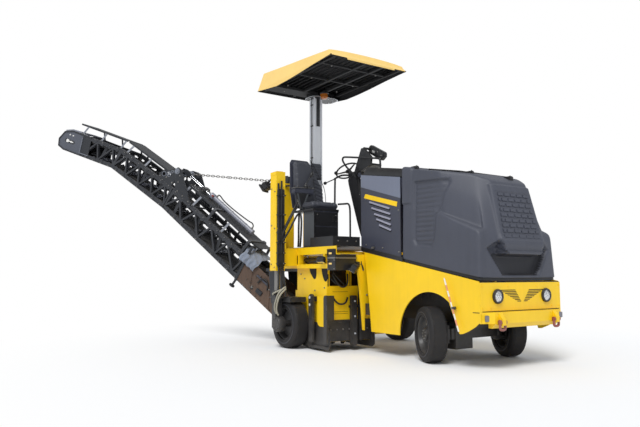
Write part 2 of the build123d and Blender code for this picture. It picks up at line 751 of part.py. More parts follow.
def frame_across(s, z, slope, outline, wall, thickness):
    """A portal across the conveyor: outline gives height and half width of its corners."""
    a = math.radians(slope)
    origin = conveyor_plane.from_local_coords((s, z, 0))
    plane = Plane(origin=origin,
                  x_dir=(-math.sin(a) * out_x, -math.sin(a) * out_y, math.cos(a)),
                  z_dir=(math.cos(a) * out_x, math.cos(a) * out_y, math.sin(a)))
    points = [(h, w) for h, w in outline] + [(h, -w) for h, w in reversed(outline)]
    inner = [(h - (wall if h > 0 else 1), w - wall) for h, w in outline]
    inner = inner + [(h, -w) for h, w in reversed(inner)]
    with BuildSketch(plane.offset(-thickness / 2)) as portal:
        with BuildLine():
            Polyline(*points, close=True)
        make_face()
        with BuildLine():
            Polyline(*inner, close=True)
        make_face(mode=Mode.SUBTRACT)
    extrude(portal.sketch, amount=thickness)


base_slope = math.degrees(math.atan2(fold[1][1] - tail[1][1], fold[1][0] - tail[1][0]))
mid_slope = math.degrees(math.atan2(knee[1][1] - fold[1][1], knee[1][0] - fold[1][0]))
head_slope = math.degrees(math.atan2(head[1][1] - knee[1][1], head[1][0] - knee[1][0]))
hoop_outline = [(0, conveyor_half_width), (hoop_rise, conveyor_half_width - hoop_inset)]
side_inner = conveyor_half_width - chord_size
housing_end = cross_line(tail, fold, 0.30)
base_end = moved(fold, -fold_gap / 2)
head_start = moved(fold, fold_gap / 2)
fold_pin_radius = 20
barrel_radius = 36
# the lift line runs through the fold pin, parallel to the base section's upper chord
lift_height = ((fold[1][0] - fold_s) * math.sin(math.radians(base_slope))
               + (fold_z - fold[1][1]) * math.cos(math.radians(base_slope)))
portal_height = lift_height - barrel_radius + 3
portal_outline = [(0, conveyor_half_width), (portal_height - 35, conveyor_half_width),
                  (portal_height, conveyor_half_width - 35)]

base_rollers = (0.15, 0.40, 0.65, 0.90)
head_rollers = [
    # start, end, share of the way
    (head_start, knee, 0.2),
    (head_start, knee, 0.5),
    (head_start, knee, 0.8),
    (knee, head, 0.3),
]
roller_reach = side_inner - 4


def rollers(line):
    """A carrying roller under the belt's upper run and a return roller over its lower run."""
    for share, radius in ((0.64, 30), (0.22, 25)):
        s, z = between(line, share)
        boom_pin(s, z, radius, -roller_reach, roller_reach)


def roller_posts(line):
    """The upright plates on the inside of both side frames that hold a pair of rollers."""
    for n0 in (-side_inner, roller_reach):
        strip([moved(line, -20), moved(line, 20)], 0.02, 0.98, n0, n0 + side_inner - roller_reach)


with BuildPart() as base_truss:
    for n0 in (-conveyor_half_width, side_inner):
        lattice(housing_end, base_end, 5, n0, n0 + chord_size)
    for share in base_rollers:
        roller_posts(cross_line(housing_end, base_end, share))
    for share in (0.02, 0.30, 0.52, 0.75, 0.95):
        line = cross_line(housing_end, base_end, share)
        strip([line, moved(line, 32)], 0.01, 0.09, -side_inner, side_inner)
    for n0 in (-265, 251):
        boom_prism([(1420, 1905), (1700, 2128), (1705, 2425), (1660, 2460), (1600, 2430)], n0, n0 + 14)
        boom_prism([(1430, 1890), (1660, 2080), (1640, 2110), (1420, 1925)], min(n0, n0 + 13), n0 + 14)
    boom_prism([(1430, 1890), (1660, 2080), (1640, 2110), (1420, 1925)], -254, -240)
    boom_prism([(1430, 1890), (1660, 2080), (1640, 2110), (1420, 1925)], 240, 254)
    boom_pin(fold_s, fold_z, fold_pin_radius, -265, 265)
    boom_pin(fold_s, fold_z, 50, -22, -2)
    for share in (0.14, 0.56):
        s, z = between(cross_line(housing_end, base_end, share), 0.99)
        frame_across(s, z, base_slope, portal_outline, 26, 40)
save(base_truss, "base_truss")

with BuildPart() as base_housing:
    for n0 in (-conveyor_half_width, conveyor_half_width - 10):
        strip([tail, housing_end], 0, 1, n0, n0 + 10)
    strip([tail, housing_end], 0, 0.03, -conveyor_half_width, conveyor_half_width)
    for n0 in (-conveyor_half_width - 18, conveyor_half_width):
        boom_pin(0, luff_z, 55, n0, n0 + 18)
    boom_pin(0, luff_z, 25, -conveyor_half_width - 62, conveyor_half_width + 62)
save(base_housing, "base_housing")

with BuildPart() as base_belt:
    lines = [cross_line(tail, housing_end, 0.06), base_end]
    strip(lines, 0.72, 0.755, -belt_half_width, belt_half_width)
    strip(lines, 0.12, 0.155, -belt_half_width, belt_half_width)
    for share in base_rollers:
        rollers(cross_line(housing_end, base_end, share))
save(base_belt, "base_belt")

with BuildPart() as base_cover:
    for share in (0.04, 0.32, 0.70):
        s, z = between(cross_line(housing_end, base_end, share), 1)
        frame_across(s, z, base_slope, hoop_outline, 14, 26)
    a = math.radians(base_slope)
    start = between(cross_line(housing_end, base_end, 0.02), 1)
    end = between(cross_line(housing_end, base_end, 0.93), 1)
    points = []
    for (s, z), height in ((start, hoop_rise - 8), (end, hoop_rise - 8), (end, hoop_rise), (start, hoop_rise)):
        points.append((s - height * math.sin(a), z + height * math.cos(a)))
    boom_prism(points, -conveyor_half_width + hoop_inset, conveyor_half_width - hoop_inset)
save(base_cover, "base_cover")

# lift gear on top of the base section: barrel, crosshead on two guide rods, pulley at the fold pin
lift_slope = math.radians(base_slope)
lift_dir = (math.cos(lift_slope), math.sin(lift_slope))


def on_lift_line(distance):
    """A point below the fold pin, along the lift cylinder's line."""
    return (fold_s - distance * lift_dir[0], fold_z - distance * lift_dir[1])


def lift_bar(far, near, radius, n, mode=Mode.ADD):
    """A round bar along the lift line between two distances from the fold pin."""
    s, z = on_lift_line(far)
    origin = conveyor_plane.from_local_coords((s, z, n))
    plane = Plane(origin=origin, z_dir=(lift_dir[0] * out_x, lift_dir[0] * out_y, lift_dir[1]))
    with BuildSketch(plane) as outline:
        Circle(radius)
    extrude(outline.sketch, amount=far - near, mode=mode)


guide_n = 42
with BuildPart() as lift_cylinder:
    lift_bar(1450, 560, barrel_radius, 0)
    lift_bar(600, 540, 46, 0)
    lift_bar(1380, 530, 16, 0, mode=Mode.SUBTRACT)
save(lift_cylinder, "lift_cylinder")

with BuildPart() as lift_guides:
    for n in (-guide_n, guide_n):
        lift_bar(539, 0, 9, n)
        boom_pin(fold_s, fold_z, 34, n - 16, n + 16)
    boom_pin(fold_s, fold_z, fold_pin_radius + 0.3, -70, 70, mode=Mode.SUBTRACT)
save(lift_guides, "lift_guides")

with BuildPart() as crosshead:
    low_s, low_z = on_lift_line(440)
    high_s, high_z = on_lift_line(380)
    up = (-lift_dir[1] * 32, lift_dir[0] * 32)
    boom_prism([(low_s - up[0], low_z - up[1]), (high_s - up[0], high_z - up[1]),
                (high_s + up[0], high_z + up[1]), (low_s + up[0], low_z + up[1])], -62, 62)
    lift_bar(1000, 420, 15.7, 0)
    for n in (-guide_n, guide_n):
        lift_bar(460, 360, 9.3, n, mode=Mode.SUBTRACT)
save(crosshead, "crosshead")

with BuildPart() as head_truss:
    for n0 in (-conveyor_half_width, side_inner):
        lattice(head_start, knee, 4, n0, n0 + chord_size)
        lattice(knee, cross_line(knee, head, 0.62), 2, n0, n0 + chord_size)
    for start, end, share in head_rollers:
        roller_posts(cross_line(start, end, share))
    for n0 in (-conveyor_half_width, conveyor_half_width - 12):
        boom_prism([between(cross_line(knee, head, 0.60), 0), (3930, 2906), (4040, 2985), (4030, 3110),
                    (3900, 3215), (3720, 3205), between(cross_line(knee, head, 0.60), 1)], n0, n0 + 12)
    for share in (0.03, 0.35, 0.68, 0.95):
        line = cross_line(head_start, knee, share)
        strip([line, moved(line, 32)], 0.01, 0.09, -side_inner, side_inner)
    for n0 in (-250, 236):
        boom_prism([(1650, 2460), (1595, 2410), (1770, 2190), (2010, 2335), (1990, 2370), (1830, 2300),
                    (1710, 2420)], n0, n0 + 14)
        boom_pin(fold_s, fold_z, fold_pin_radius + 24, n0, n0 + 14)
        boom_pin(fold_s, fold_z, fold_pin_radius + 0.3, n0 - 5, n0 + 20, mode=Mode.SUBTRACT)
save(head_truss, "head_truss")

with BuildPart() as head_belt:
    lines = [head_start, knee, cross_line(knee, head, 0.97)]
    strip(lines, 0.72, 0.755, -belt_half_width, belt_half_width)
    strip(lines, 0.12, 0.155, -belt_half_width, belt_half_width)
    for start, end, share in head_rollers:
        rollers(cross_line(start, end, share))
    s, z = between(cross_line(knee, head, 0.92), 0.44)
    boom_pin(s, z, 100, -belt_half_width - 15, belt_half_width + 15)
    boom_pin(s, z, 25, -conveyor_half_width + 12, conveyor_half_width - 12)
save(head_belt, "head_belt")

with BuildPart() as head_cover:
    for start, end, share, slope in ((head_start, knee, 0.34, mid_slope), (head_start, knee, 0.62, mid_slope),
                                     (head_start, knee, 0.97, mid_slope), (knee, head, 0.5, head_slope)):
        s, z = between(cross_line(start, end, share), 1)
        frame_across(s, z, slope, hoop_outline, 14, 26)
    a = math.radians((mid_slope + head_slope) / 2)
    low = []
    high = []
    for start, end, share in ((head_start, knee, 0.17), (head_start, knee, 1.0), (knee, head, 0.95)):
        s, z = between(cross_line(start, end, share), 1)
        low.append((s - (hoop_rise - 10) * math.sin(a), z + (hoop_rise - 10) * math.cos(a)))
        high.append((s - hoop_rise * math.sin(a), z + hoop_rise * math.cos(a)))
    boom_prism(low + list(reversed(high)), -conveyor_half_width + hoop_inset, conveyor_half_width - hoop_inset)
save(head_cover, "head_cover")

# slewing yoke under the frame's bracket, and the turning head on top of the mast
chain_s = 190
chain_z = 2200
with BuildPart() as slew_yoke:
    boom_prism([(-150, 935), (150, 935), (150, 975), (-150, 975)], -312, 312)
    for n0 in (-conveyor_half_width - 62, conveyor_half_width + 22):
        boom_prism([(-110, 935), (110, 935), (70, 520), (0, 470), (-70, 520)], n0, n0 + 40)
        boom_pin(0, luff_z, 25.3, n0 - 5, n0 + 45, mode=Mode.SUBTRACT)
    with BuildSketch(Plane(origin=(slew_x, slew_y, 975), z_dir=(0, 0, 1))) as pin:
        Circle(45)
    extrude(pin.sketch, amount=80)
    with BuildSketch(Plane(origin=(slew_x, slew_y, mast_top + 0.3), z_dir=(0, 0, 1))) as turntable:
        Circle(72)
    extrude(turntable.sketch, amount=24)
    for n0 in (-44, 32):
        boom_prism([(-40, mast_top + 20), (60, mast_top + 20), (chain_s + 30, chain_z - 28),
                    (chain_s + 30, chain_z + 28), (60, chain_z + 60), (-40, chain_z + 60)], n0, n0 + 12)
    boom_pin(chain_s, chain_z, 10, -44, 44)
save(slew_yoke, "slew_yoke")

with BuildPart() as conveyor_mast:
    h = mast_size / 2
    block(slew_x - h, slew_x + h, slew_y - h, slew_y + h, 1060, mast_top)
    block(slew_x - h, slew_x - h + 200, slew_y - h - 12, slew_y - h, 1060, 1400)
save(conveyor_mast, "conveyor_mast")

chain_angle = math.atan2(fold_z - chain_z, fold_s - chain_s)
chain_reach = 1040
for name, start_s, start_z, way, n, pin_radius in (
    ("chain_mast_half", chain_s, chain_z, 1, -12, 10),
    ("chain_boom_half", fold_s, fold_z, -1, 12, fold_pin_radius),
):
    with BuildPart() as chain_half:
        run = (math.cos(chain_angle) * way, math.sin(chain_angle) * way)
        origin = conveyor_plane.from_local_coords((start_s, start_z, n))
        bar = Plane(origin=origin, z_dir=(run[0] * out_x, run[0] * out_y, run[1]))
        with BuildSketch(bar) as link:
            Circle(6)
        extrude(link.sketch, amount=chain_reach)
        boom_pin(start_s, start_z, pin_radius + 14, n - 9, n + 9)
        boom_pin(start_s, start_z, pin_radius + 0.3, n - 10, n + 10, mode=Mode.SUBTRACT)
    save(chain_half, name)

# ================================================================= operator's place
seat_base_top = 1735
with BuildPart() as seat_pedestal:
    block(-170, 100, -790, -420, deck_top, seat_base_top)
    block(-360, 110, -820, -410, seat_base_top - 30, seat_base_top)
save(seat_pedestal, "seat_pedestal")

with BuildPart() as seat_cushion:
    block(-260, 110, -840, -370, seat_base_top + 0.3, seat_base_top + 95)
    fillet(seat_cushion.edges().filter_by(Axis.Z), 50)
save(seat_cushion, "seat_cushion")

with BuildPart() as seat_back:
    side_prism([(-260.3, seat_base_top + 0.3), (-350, seat_base_top + 0.3), (-362, 1900), (-408, 2400),
                (-380, 2440), (-340, 2430), (-285, 2000)], -880, -345)
    # narrower at the top, seen from the front
    with BuildSketch(Plane.YZ.offset(-500)) as face:
        with BuildLine():
            Polyline((-840, seat_base_top), (-878, 2010), (-868, 2390), (-835, 2440), (-575, 2440),
                     (-540, 2400), (-356, 2055), (-350, seat_base_top), close=True)
        make_face()
    extrude(face.sketch, amount=300, mode=Mode.INTERSECT)
    # a second pad behind the left shoulder
    block(-420, -350, -560, -350, 2170, 2420)
save(seat_back, "seat_back")

wheel_plane = Plane(origin=(30, -210, 2275), z_dir=(-0.5, 0, 0.866))
with BuildPart() as console:
    side_prism([(430, deck_top), (580, deck_top), (420, 1700), (270, 2165), (110, 2165), (330, 1600)],
               -250, -170)
    side_prism([(250, 2120), (560, 2300), (720, 2560), (640, 2590), (480, 2380), (230, 2190)], -230, -30)
    with BuildSketch(wheel_plane.offset(-170)) as boss:
        Circle(26)
    extrude(boss.sketch, amount=110)
    with BuildSketch(wheel_plane.offset(-112)) as socket:
        Circle(14.3)
    extrude(socket.sketch, amount=60, mode=Mode.SUBTRACT)
save(console, "console")

with BuildPart() as steering_wheel:
    with BuildSketch(wheel_plane.offset(-12)) as ring:
        Circle(175)
        Circle(150, mode=Mode.SUBTRACT)
        Rectangle(330, 34)
        Circle(38)
    extrude(ring.sketch, amount=24)
    with BuildSketch(wheel_plane.offset(-110)) as stem:
        Circle(14)
    extrude(stem.sketch, amount=100)
save(steering_wheel, "steering_wheel")

rail_radius = 13
handrail_runs = [
    # points of one bent tube
    [(245, -337, deck_top), (245, -337, 1800), (100, -337, 1800)],
    [(572, -317, deck_top), (572, -317, 2457), (-60, -317, 2457)],
]
with BuildPart() as handrails:
    for run in handrail_runs:
        with BuildLine() as path:
            FilletPolyline(*run, radius=60)
        with BuildSketch(Plane(origin=run[0], z_dir=(0, 0, 1))):
            Circle(rail_radius)
        sweep(path=path.line)
save(handrails, "handrails")

roof_x0 = -700
roof_x1 = 1060
roof_y0 = -1200
roof_y1 = -70
roof_low = 3380
roof_rear_top = 3628         # the roof is a wedge, deeper at the rear
roof_front_top = 3452
roof_lean = 60               # each side leans in by this much
fascia = 8
post_x = -490
post_y = -385
with BuildPart() as canopy_post:
    block(post_x - 65, post_x + 65, post_y - 65, post_y + 65, deck_top, roof_low + 4.8)
    block(post_x - 150, post_x + 150, -640, -120, roof_low - 20, roof_low - 8)
save(canopy_post, "canopy_post")


def roof_body(inset):
    """The wedge between the level rim and the sloping top, drawn inset by the sheet."""
    low_z = roof_low - (2 if inset else 0)
    with BuildPart() as wedge:
        side_prism([(roof_x0 + inset, low_z), (roof_x0 + roof_lean + inset, roof_rear_top - inset),
                    (roof_x1 - roof_lean - inset, roof_front_top - inset), (roof_x1 - inset, low_z)],
                   roof_y0, roof_y1)
        with BuildSketch(Plane.YZ.offset(roof_x0)) as front_view:
            with BuildLine():
                Polyline((roof_y0 + inset, low_z), (roof_y0 + roof_lean + inset, roof_rear_top),
                         (roof_y1 - roof_lean - inset, roof_rear_top), (roof_y1 - inset, low_z), close=True)
            make_face()
        extrude(front_view.sketch, amount=roof_x1 - roof_x0, mode=Mode.INTERSECT)
    return wedge.part


# the sides hang lower in the middle than at the corners
side_drop = [(roof_x0, roof_low + 2), (-180, roof_low - 55), (100, roof_low - 50), (700, roof_low - 14),
             (roof_x1, roof_low + 2)]
with BuildPart() as canopy_roof:
    add(roof_body(0))
    add(roof_body(fascia), mode=Mode.SUBTRACT)
    for y in (roof_y0, roof_y1 - fascia):
        side_prism(side_drop, y, y + fascia)
    block(roof_x1 - fascia, roof_x1, roof_y0 + 240, roof_y1 - 190, roof_low - 18, roof_low + 2)
    # the frame under the top that the post carries
    for y in (-640, post_y, -130):
        block(roof_x0 + 20, roof_x1 - 40, y - 20, y + 20, roof_low + 10, roof_low + 40)
    block(post_x - 120, post_x + 120, roof_y0 + 20, roof_y1 - 20, roof_low + 5, roof_low + 42)
save(canopy_roof, "canopy_roof")

with BuildPart() as work_lamps:
    block(-330, -180, -1290, -1190, 2020, 2110)
    block(-180, column_x - column_size_x / 2, -1228, -1208, 2055, 2075)
    block(560, 700, -1090, -1012, 1030, 1110)
    block(605, 635, -1012, deck_right_y, 1050, 1080)
save(work_lamps, "work_lamps")

rod_y = -body_half_width - 40
rod_top = (2217, rod_y, 848)
rod_low = (2392, rod_y, 354)
with BuildPart() as sighting_rod:
    run = tuple(a - b for a, b in zip(rod_top, rod_low))
    with BuildSketch(Plane(origin=rod_low, z_dir=run)) as rod:
        Circle(8)
    extrude(rod.sketch, amount=math.dist(rod_top, rod_low))
    block(2300, 2326, rod_y - 12, -body_half_width, 560, 588)
save(sighting_rod, "sighting_rod")
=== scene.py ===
# %% [markdown]
# # A compact cold planer milling machine
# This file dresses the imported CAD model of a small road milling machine: a moulded hood over
# yellow steel, four solid-rubber wheels, a lattice conveyor slewed out behind it and a small
# weather roof over the seat.  The CAD bodies are the frame; every piece made here rides on one.

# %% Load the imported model
import math
import bmesh
import bpy
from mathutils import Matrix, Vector


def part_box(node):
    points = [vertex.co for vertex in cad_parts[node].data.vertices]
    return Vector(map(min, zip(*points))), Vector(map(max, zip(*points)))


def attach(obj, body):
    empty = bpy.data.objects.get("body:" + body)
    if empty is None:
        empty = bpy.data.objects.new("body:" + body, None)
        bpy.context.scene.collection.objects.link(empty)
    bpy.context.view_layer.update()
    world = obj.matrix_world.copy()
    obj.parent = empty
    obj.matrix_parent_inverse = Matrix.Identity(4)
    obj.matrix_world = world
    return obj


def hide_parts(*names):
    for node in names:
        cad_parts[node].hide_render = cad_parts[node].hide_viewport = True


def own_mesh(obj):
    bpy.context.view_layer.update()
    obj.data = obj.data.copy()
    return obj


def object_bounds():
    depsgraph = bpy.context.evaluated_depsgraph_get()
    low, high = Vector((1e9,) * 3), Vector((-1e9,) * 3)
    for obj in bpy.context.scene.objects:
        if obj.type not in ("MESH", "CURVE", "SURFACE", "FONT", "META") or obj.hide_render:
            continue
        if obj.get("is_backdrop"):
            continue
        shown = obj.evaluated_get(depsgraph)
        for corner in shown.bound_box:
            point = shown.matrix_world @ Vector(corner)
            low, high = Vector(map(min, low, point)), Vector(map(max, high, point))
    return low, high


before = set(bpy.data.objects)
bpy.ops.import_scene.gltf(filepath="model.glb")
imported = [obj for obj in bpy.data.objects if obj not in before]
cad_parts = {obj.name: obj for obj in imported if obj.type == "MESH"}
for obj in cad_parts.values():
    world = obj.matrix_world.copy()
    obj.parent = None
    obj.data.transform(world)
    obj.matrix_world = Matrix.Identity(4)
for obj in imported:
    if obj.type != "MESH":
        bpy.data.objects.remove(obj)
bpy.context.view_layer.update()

scene = bpy.context.scene

# %% [markdown]
# ## Camera
# The camera stands low at the machine's front right corner, a little under a metre above the
# ground, and looks slightly up.  A lens of about 35 mm on a 36 mm sensor keeps the front wheels
# large and lets the conveyor run away into the distance, so the picture has real depth.

# %% Set the camera
camera_data = bpy.data.cameras.new("view_camera")
camera_data.sensor_width = 36
camera_data.lens = 34.875
camera_data.clip_end = 200
camera = bpy.data.objects.new("view_camera", camera_data)
scene.collection.objects.link(camera)
scene.camera = camera
heading, tilt = math.radians(56.39), math.radians(5.5)
look = Vector((-math.cos(tilt) * math.sin(heading), math.cos(tilt) * math.cos(heading), math.sin(tilt)))
camera.location = (6.660, -5.068, 0.911)
camera.rotation_mode = "QUATERNION"
camera.rotation_quaternion = look.to_track_quat("-Z", "Y")
scene.view_settings.view_transform = "Standard"
print("looking along", [round(v, 3) for v in look])

# %% [markdown]
# ## Shader nodes
# The light, the floor and every finish are node trees.  A few helpers keep them short: one adds
# a node with its values and links, and the others wrap the nodes that are used most.

# %% Node helpers
def open_tree(owner):
    """The empty node tree of a world or a material."""
    owner.use_nodes = True
    owner.node_tree.nodes.clear()
    return owner.node_tree


def put(tree, kind, settings=(), **links):
    """A node with its settings, and its named inputs set to a value or linked to a socket."""
    node = tree.nodes.new(kind)
    for key, value in dict(settings).items():
        setattr(node, key, value)
    for key, value in links.items():
        numbered = key[0] == "i" and key[1:].isdigit()
        spot = node.inputs[int(key[1:]) if numbered else key.replace("_", " ")]
        if isinstance(value, bpy.types.NodeSocket):
            tree.links.new(value, spot)
        else:
            spot.default_value = value
    return node


def maths(tree, operation, *values, clamp=False):
    """The result of a Math node on numbers or sockets."""
    inputs = {f"i{k}": value for k, value in enumerate(values)}
    return put(tree, "ShaderNodeMath", {"operation": operation, "use_clamp": clamp}, **inputs).outputs[0]


def ramp(tree, value, low, high, to=(0.0, 1.0), soft=True):
    """Maps the range from low to high onto another, softly or in a straight line."""
    way = {"interpolation_type": "SMOOTHSTEP" if soft else "LINEAR"}
    return put(tree, "ShaderNodeMapRange", way, Value=value, From_Min=low, From_Max=high,
               To_Min=to[0], To_Max=to[1]).outputs["Result"]


def noise(tree, place, scale, detail, roughness=0.5):
    return put(tree, "ShaderNodeTexNoise", Vector=place, Scale=scale, Detail=detail,
               Roughness=roughness).outputs[0]


def object_place(tree):
    """The place on the object, in metres."""
    return put(tree, "ShaderNodeTexCoord").outputs["Object"]


print("node helpers ready")

# %% [markdown]
# ## Light and stage
# A pale world lights everything evenly, and one large soft sun from the machine's right and
# above gives the panels their shading.  Together they light a surface so that it renders about
# as its colour is written.  Camera rays and transmitted rays see the world as white.

# %% Light the scene
scene.world = bpy.data.worlds.new("studio")
tree = open_tree(scene.world)
rays = put(tree, "ShaderNodeLightPath").outputs
seen = maths(tree, "MAXIMUM", rays["Is Camera Ray"], rays["Is Transmission Ray"])
ambient = put(tree, "ShaderNodeBackground", Color=(0.93, 0.96, 1.0, 1), Strength=0.62)
white = put(tree, "ShaderNodeBackground", Color=(1, 1, 1, 1), Strength=1.0)
blend = put(tree, "ShaderNodeMixShader", i0=seen, i1=ambient.outputs[0], i2=white.outputs[0])
put(tree, "ShaderNodeOutputWorld", Surface=blend.outputs[0])

sun_data = bpy.data.lights.new("soft_sun", "SUN")
sun_data.energy = 1.9
sun_data.angle = math.radians(24)
sun = bpy.data.objects.new("soft_sun", sun_data)
scene.collection.objects.link(sun)
sun.rotation_mode = "QUATERNION"
sun.rotation_quaternion = Vector((-0.36, 0.50, -0.80)).to_track_quat("-Z", "Y")
print("sun", sun_data.energy)

# %% [markdown]
# The floor is one pale sheet.  Its paint fades to plain white away from the machine, so no
# horizon line shows, and it keeps the soft shadow under the wheels.

# %% Lay the floor
floor_half, floor_z = 60, -0.001
floor_mesh = bpy.data.meshes.new("floor")
floor_mesh.from_pydata([(x * floor_half, y * floor_half, floor_z) for x,
                        y in ((-1, -1), (1, -1), (1, 1), (-1, 1))], [], [(0, 1, 2, 3)])
floor = bpy.data.objects.new("floor", floor_mesh)
scene.collection.objects.link(floor)
floor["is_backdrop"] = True
floor_paint = bpy.data.materials.new("floor_paint")
tree = open_tree(floor_paint)
oval = put(tree, "ShaderNodeMapping", Vector=object_place(tree), Location=(-0.45, 0.0, 0),
           Scale=(0.20, 0.24, 1))
span = put(tree, "ShaderNodeVectorMath", {"operation": "LENGTH"}, i0=oval.outputs["Vector"])
fade = ramp(tree, span.outputs["Value"], 0.55, 1.35)
seen = maths(tree, "MULTIPLY", fade, put(tree, "ShaderNodeLightPath").outputs["Is Camera Ray"])
matt = put(tree, "ShaderNodeBsdfDiffuse", Color=(0.93, 0.93, 0.93, 1))
plain = put(tree, "ShaderNodeEmission", Color=(1, 1, 1, 1))
blend = put(tree, "ShaderNodeMixShader", i0=seen, i1=matt.outputs[0], i2=plain.outputs[0])
put(tree, "ShaderNodeOutputMaterial", Surface=blend.outputs[0])
floor_mesh.materials.append(floor_paint)
print("floor laid")

# %% [markdown]
# ## Shared effects
# A working machine is never one flat colour: paint drifts in tone, corners lose their coat, and
# dust settles on what faces up and near the ground.  Each effect is one node group with named
# inputs, used by many finishes with different values.

# %% A group's sockets
def start_effect(name, inputs, outputs):
    """A new group with the sockets to read from and the sockets to write to."""
    group = bpy.data.node_groups.new(name, "ShaderNodeTree")
    for label, value in inputs:
        kind = "NodeSocketColor" if isinstance(value, tuple) else "NodeSocketFloat"
        group.interface.new_socket(label, in_out="INPUT", socket_type=kind).default_value = value
    for label, kind in outputs:
        group.interface.new_socket(label, in_out="OUTPUT", socket_type=kind)
    return group, group.nodes.new("NodeGroupInput").outputs, group.nodes.new("NodeGroupOutput").inputs


print("groups can be made")

# %% [markdown]
# **Worn edges.**  The Bevel node gives the normal that a rounded edge would have.  Where it
# turns away from the true normal there is an edge, and noise breaks that line up into chips.

# %% Worn edges
worn_edges, start, end = start_effect(
    "worn_edges", [("Width", 0.006), ("Chip Scale", 26.0), ("Amount", 0.5)], [("Mask", "NodeSocketFloat")])
rounded = put(worn_edges, "ShaderNodeBevel", {"samples": 4}, Radius=start["Width"]).outputs["Normal"]
true = put(worn_edges, "ShaderNodeNewGeometry").outputs["Normal"]
turn = put(worn_edges, "ShaderNodeVectorMath", {"operation": "DOT_PRODUCT"}, i0=rounded, i1=true)
edge = ramp(worn_edges, turn.outputs["Value"], 0.995, 0.80)
chips = noise(worn_edges, object_place(worn_edges), start["Chip Scale"], 5.0, 0.7)
both = maths(worn_edges, "MULTIPLY", edge, ramp(worn_edges, chips, 0.46, 0.62))
worn_edges.links.new(maths(worn_edges, "MULTIPLY", both, start["Amount"]), end["Mask"])
print("effect", worn_edges.name)

# %% [markdown]
# **Settled dust.**  Dust lies on faces that look up, and thrown grit greys whatever is near the
# ground.  Both masks are torn by soft noise so that no border is clean.

# %% Settled dust
settled_dust, start, end = start_effect(
    "settled_dust", [("On Top", 0.5), ("Near Ground", 0.5), ("Ground Height", 0.7), ("Patch Scale", 5.0)],
    [("Mask", "NodeSocketFloat")])
place = object_place(settled_dust)
normal = put(settled_dust, "ShaderNodeNewGeometry").outputs["Normal"]
facing = put(settled_dust, "ShaderNodeSeparateXYZ", Vector=normal)
height = put(settled_dust, "ShaderNodeSeparateXYZ", Vector=place)
upward = ramp(settled_dust, facing.outputs["Z"], 0.25, 0.95)
low = ramp(settled_dust, height.outputs["Z"], start["Ground Height"], 0.0)
top = maths(settled_dust, "MULTIPLY", upward, start["On Top"])
bottom = maths(settled_dust, "MULTIPLY", low, start["Near Ground"])
most = maths(settled_dust, "MAXIMUM", top, bottom)
patches = noise(settled_dust, place, start["Patch Scale"], 8.0, 0.65)
torn = ramp(settled_dust, patches, 0.3, 0.7, to=(0.1, 1.0), soft=False)
settled_dust.links.new(maths(settled_dust, "MULTIPLY", most, torn, clamp=True), end["Mask"])
print("effect", settled_dust.name)

# %% [markdown]
# **Colour drift** moves a colour slightly lighter and darker in broad soft clouds, with faint
# vertical runs where rain has washed down.  **Moulded grain** is the leathery bump of a moulded
# hood or a vinyl seat, given as a height.

# %% Colour drift and moulded grain
colour_drift, start, end = start_effect(
    "colour_drift", [("Colour", (0.5, 0.5, 0.5, 1.0)), ("Drift", 0.1), ("Cloud Scale", 2.5), ("Runs", 0.5)],
    [("Colour", "NodeSocketColor"), ("Cloud", "NodeSocketFloat")])
place = object_place(colour_drift)
cloud = noise(colour_drift, place, start["Cloud Scale"], 6.0, 0.6)
stretch = put(colour_drift, "ShaderNodeMapping", Vector=place, Scale=(22.0, 22.0, 1.1))
runs = noise(colour_drift, stretch.outputs["Vector"], 1.0, 4.0)
total = maths(colour_drift, "ADD", cloud, maths(colour_drift, "MULTIPLY", runs, start["Runs"]))
around = ramp(colour_drift, total, 0.45, 1.05, to=(-1.0, 1.0), soft=False)
amount = maths(colour_drift, "MULTIPLY_ADD", around, start["Drift"], 1.0)
tint = put(colour_drift, "ShaderNodeHueSaturation", Value=amount, Color=start["Colour"])
colour_drift.links.new(tint.outputs["Color"], end["Colour"])
colour_drift.links.new(cloud, end["Cloud"])

moulded_grain, start, end = start_effect(
    "moulded_grain", [("Scale", 500.0), ("Pores", 0.5)], [("Height", "NodeSocketFloat")])
place = object_place(moulded_grain)
cells = put(moulded_grain, "ShaderNodeTexVoronoi", {"feature": "DISTANCE_TO_EDGE"}, Vector=place,
            Scale=start["Scale"]).outputs["Distance"]
pores = maths(moulded_grain, "MULTIPLY", noise(moulded_grain, place, start["Scale"], 3.0), start["Pores"])
moulded_grain.links.new(maths(moulded_grain, "ADD", cells, pores), end["Height"])
print("effects", colour_drift.name, moulded_grain.name)

# %% [markdown]
# ## Finishes
# Most parts share one recipe: a coat of colour that drifts, edges rubbed to what is under the
# coat, dust over it, and a fine bump.  A new finish is the recipe with other values.

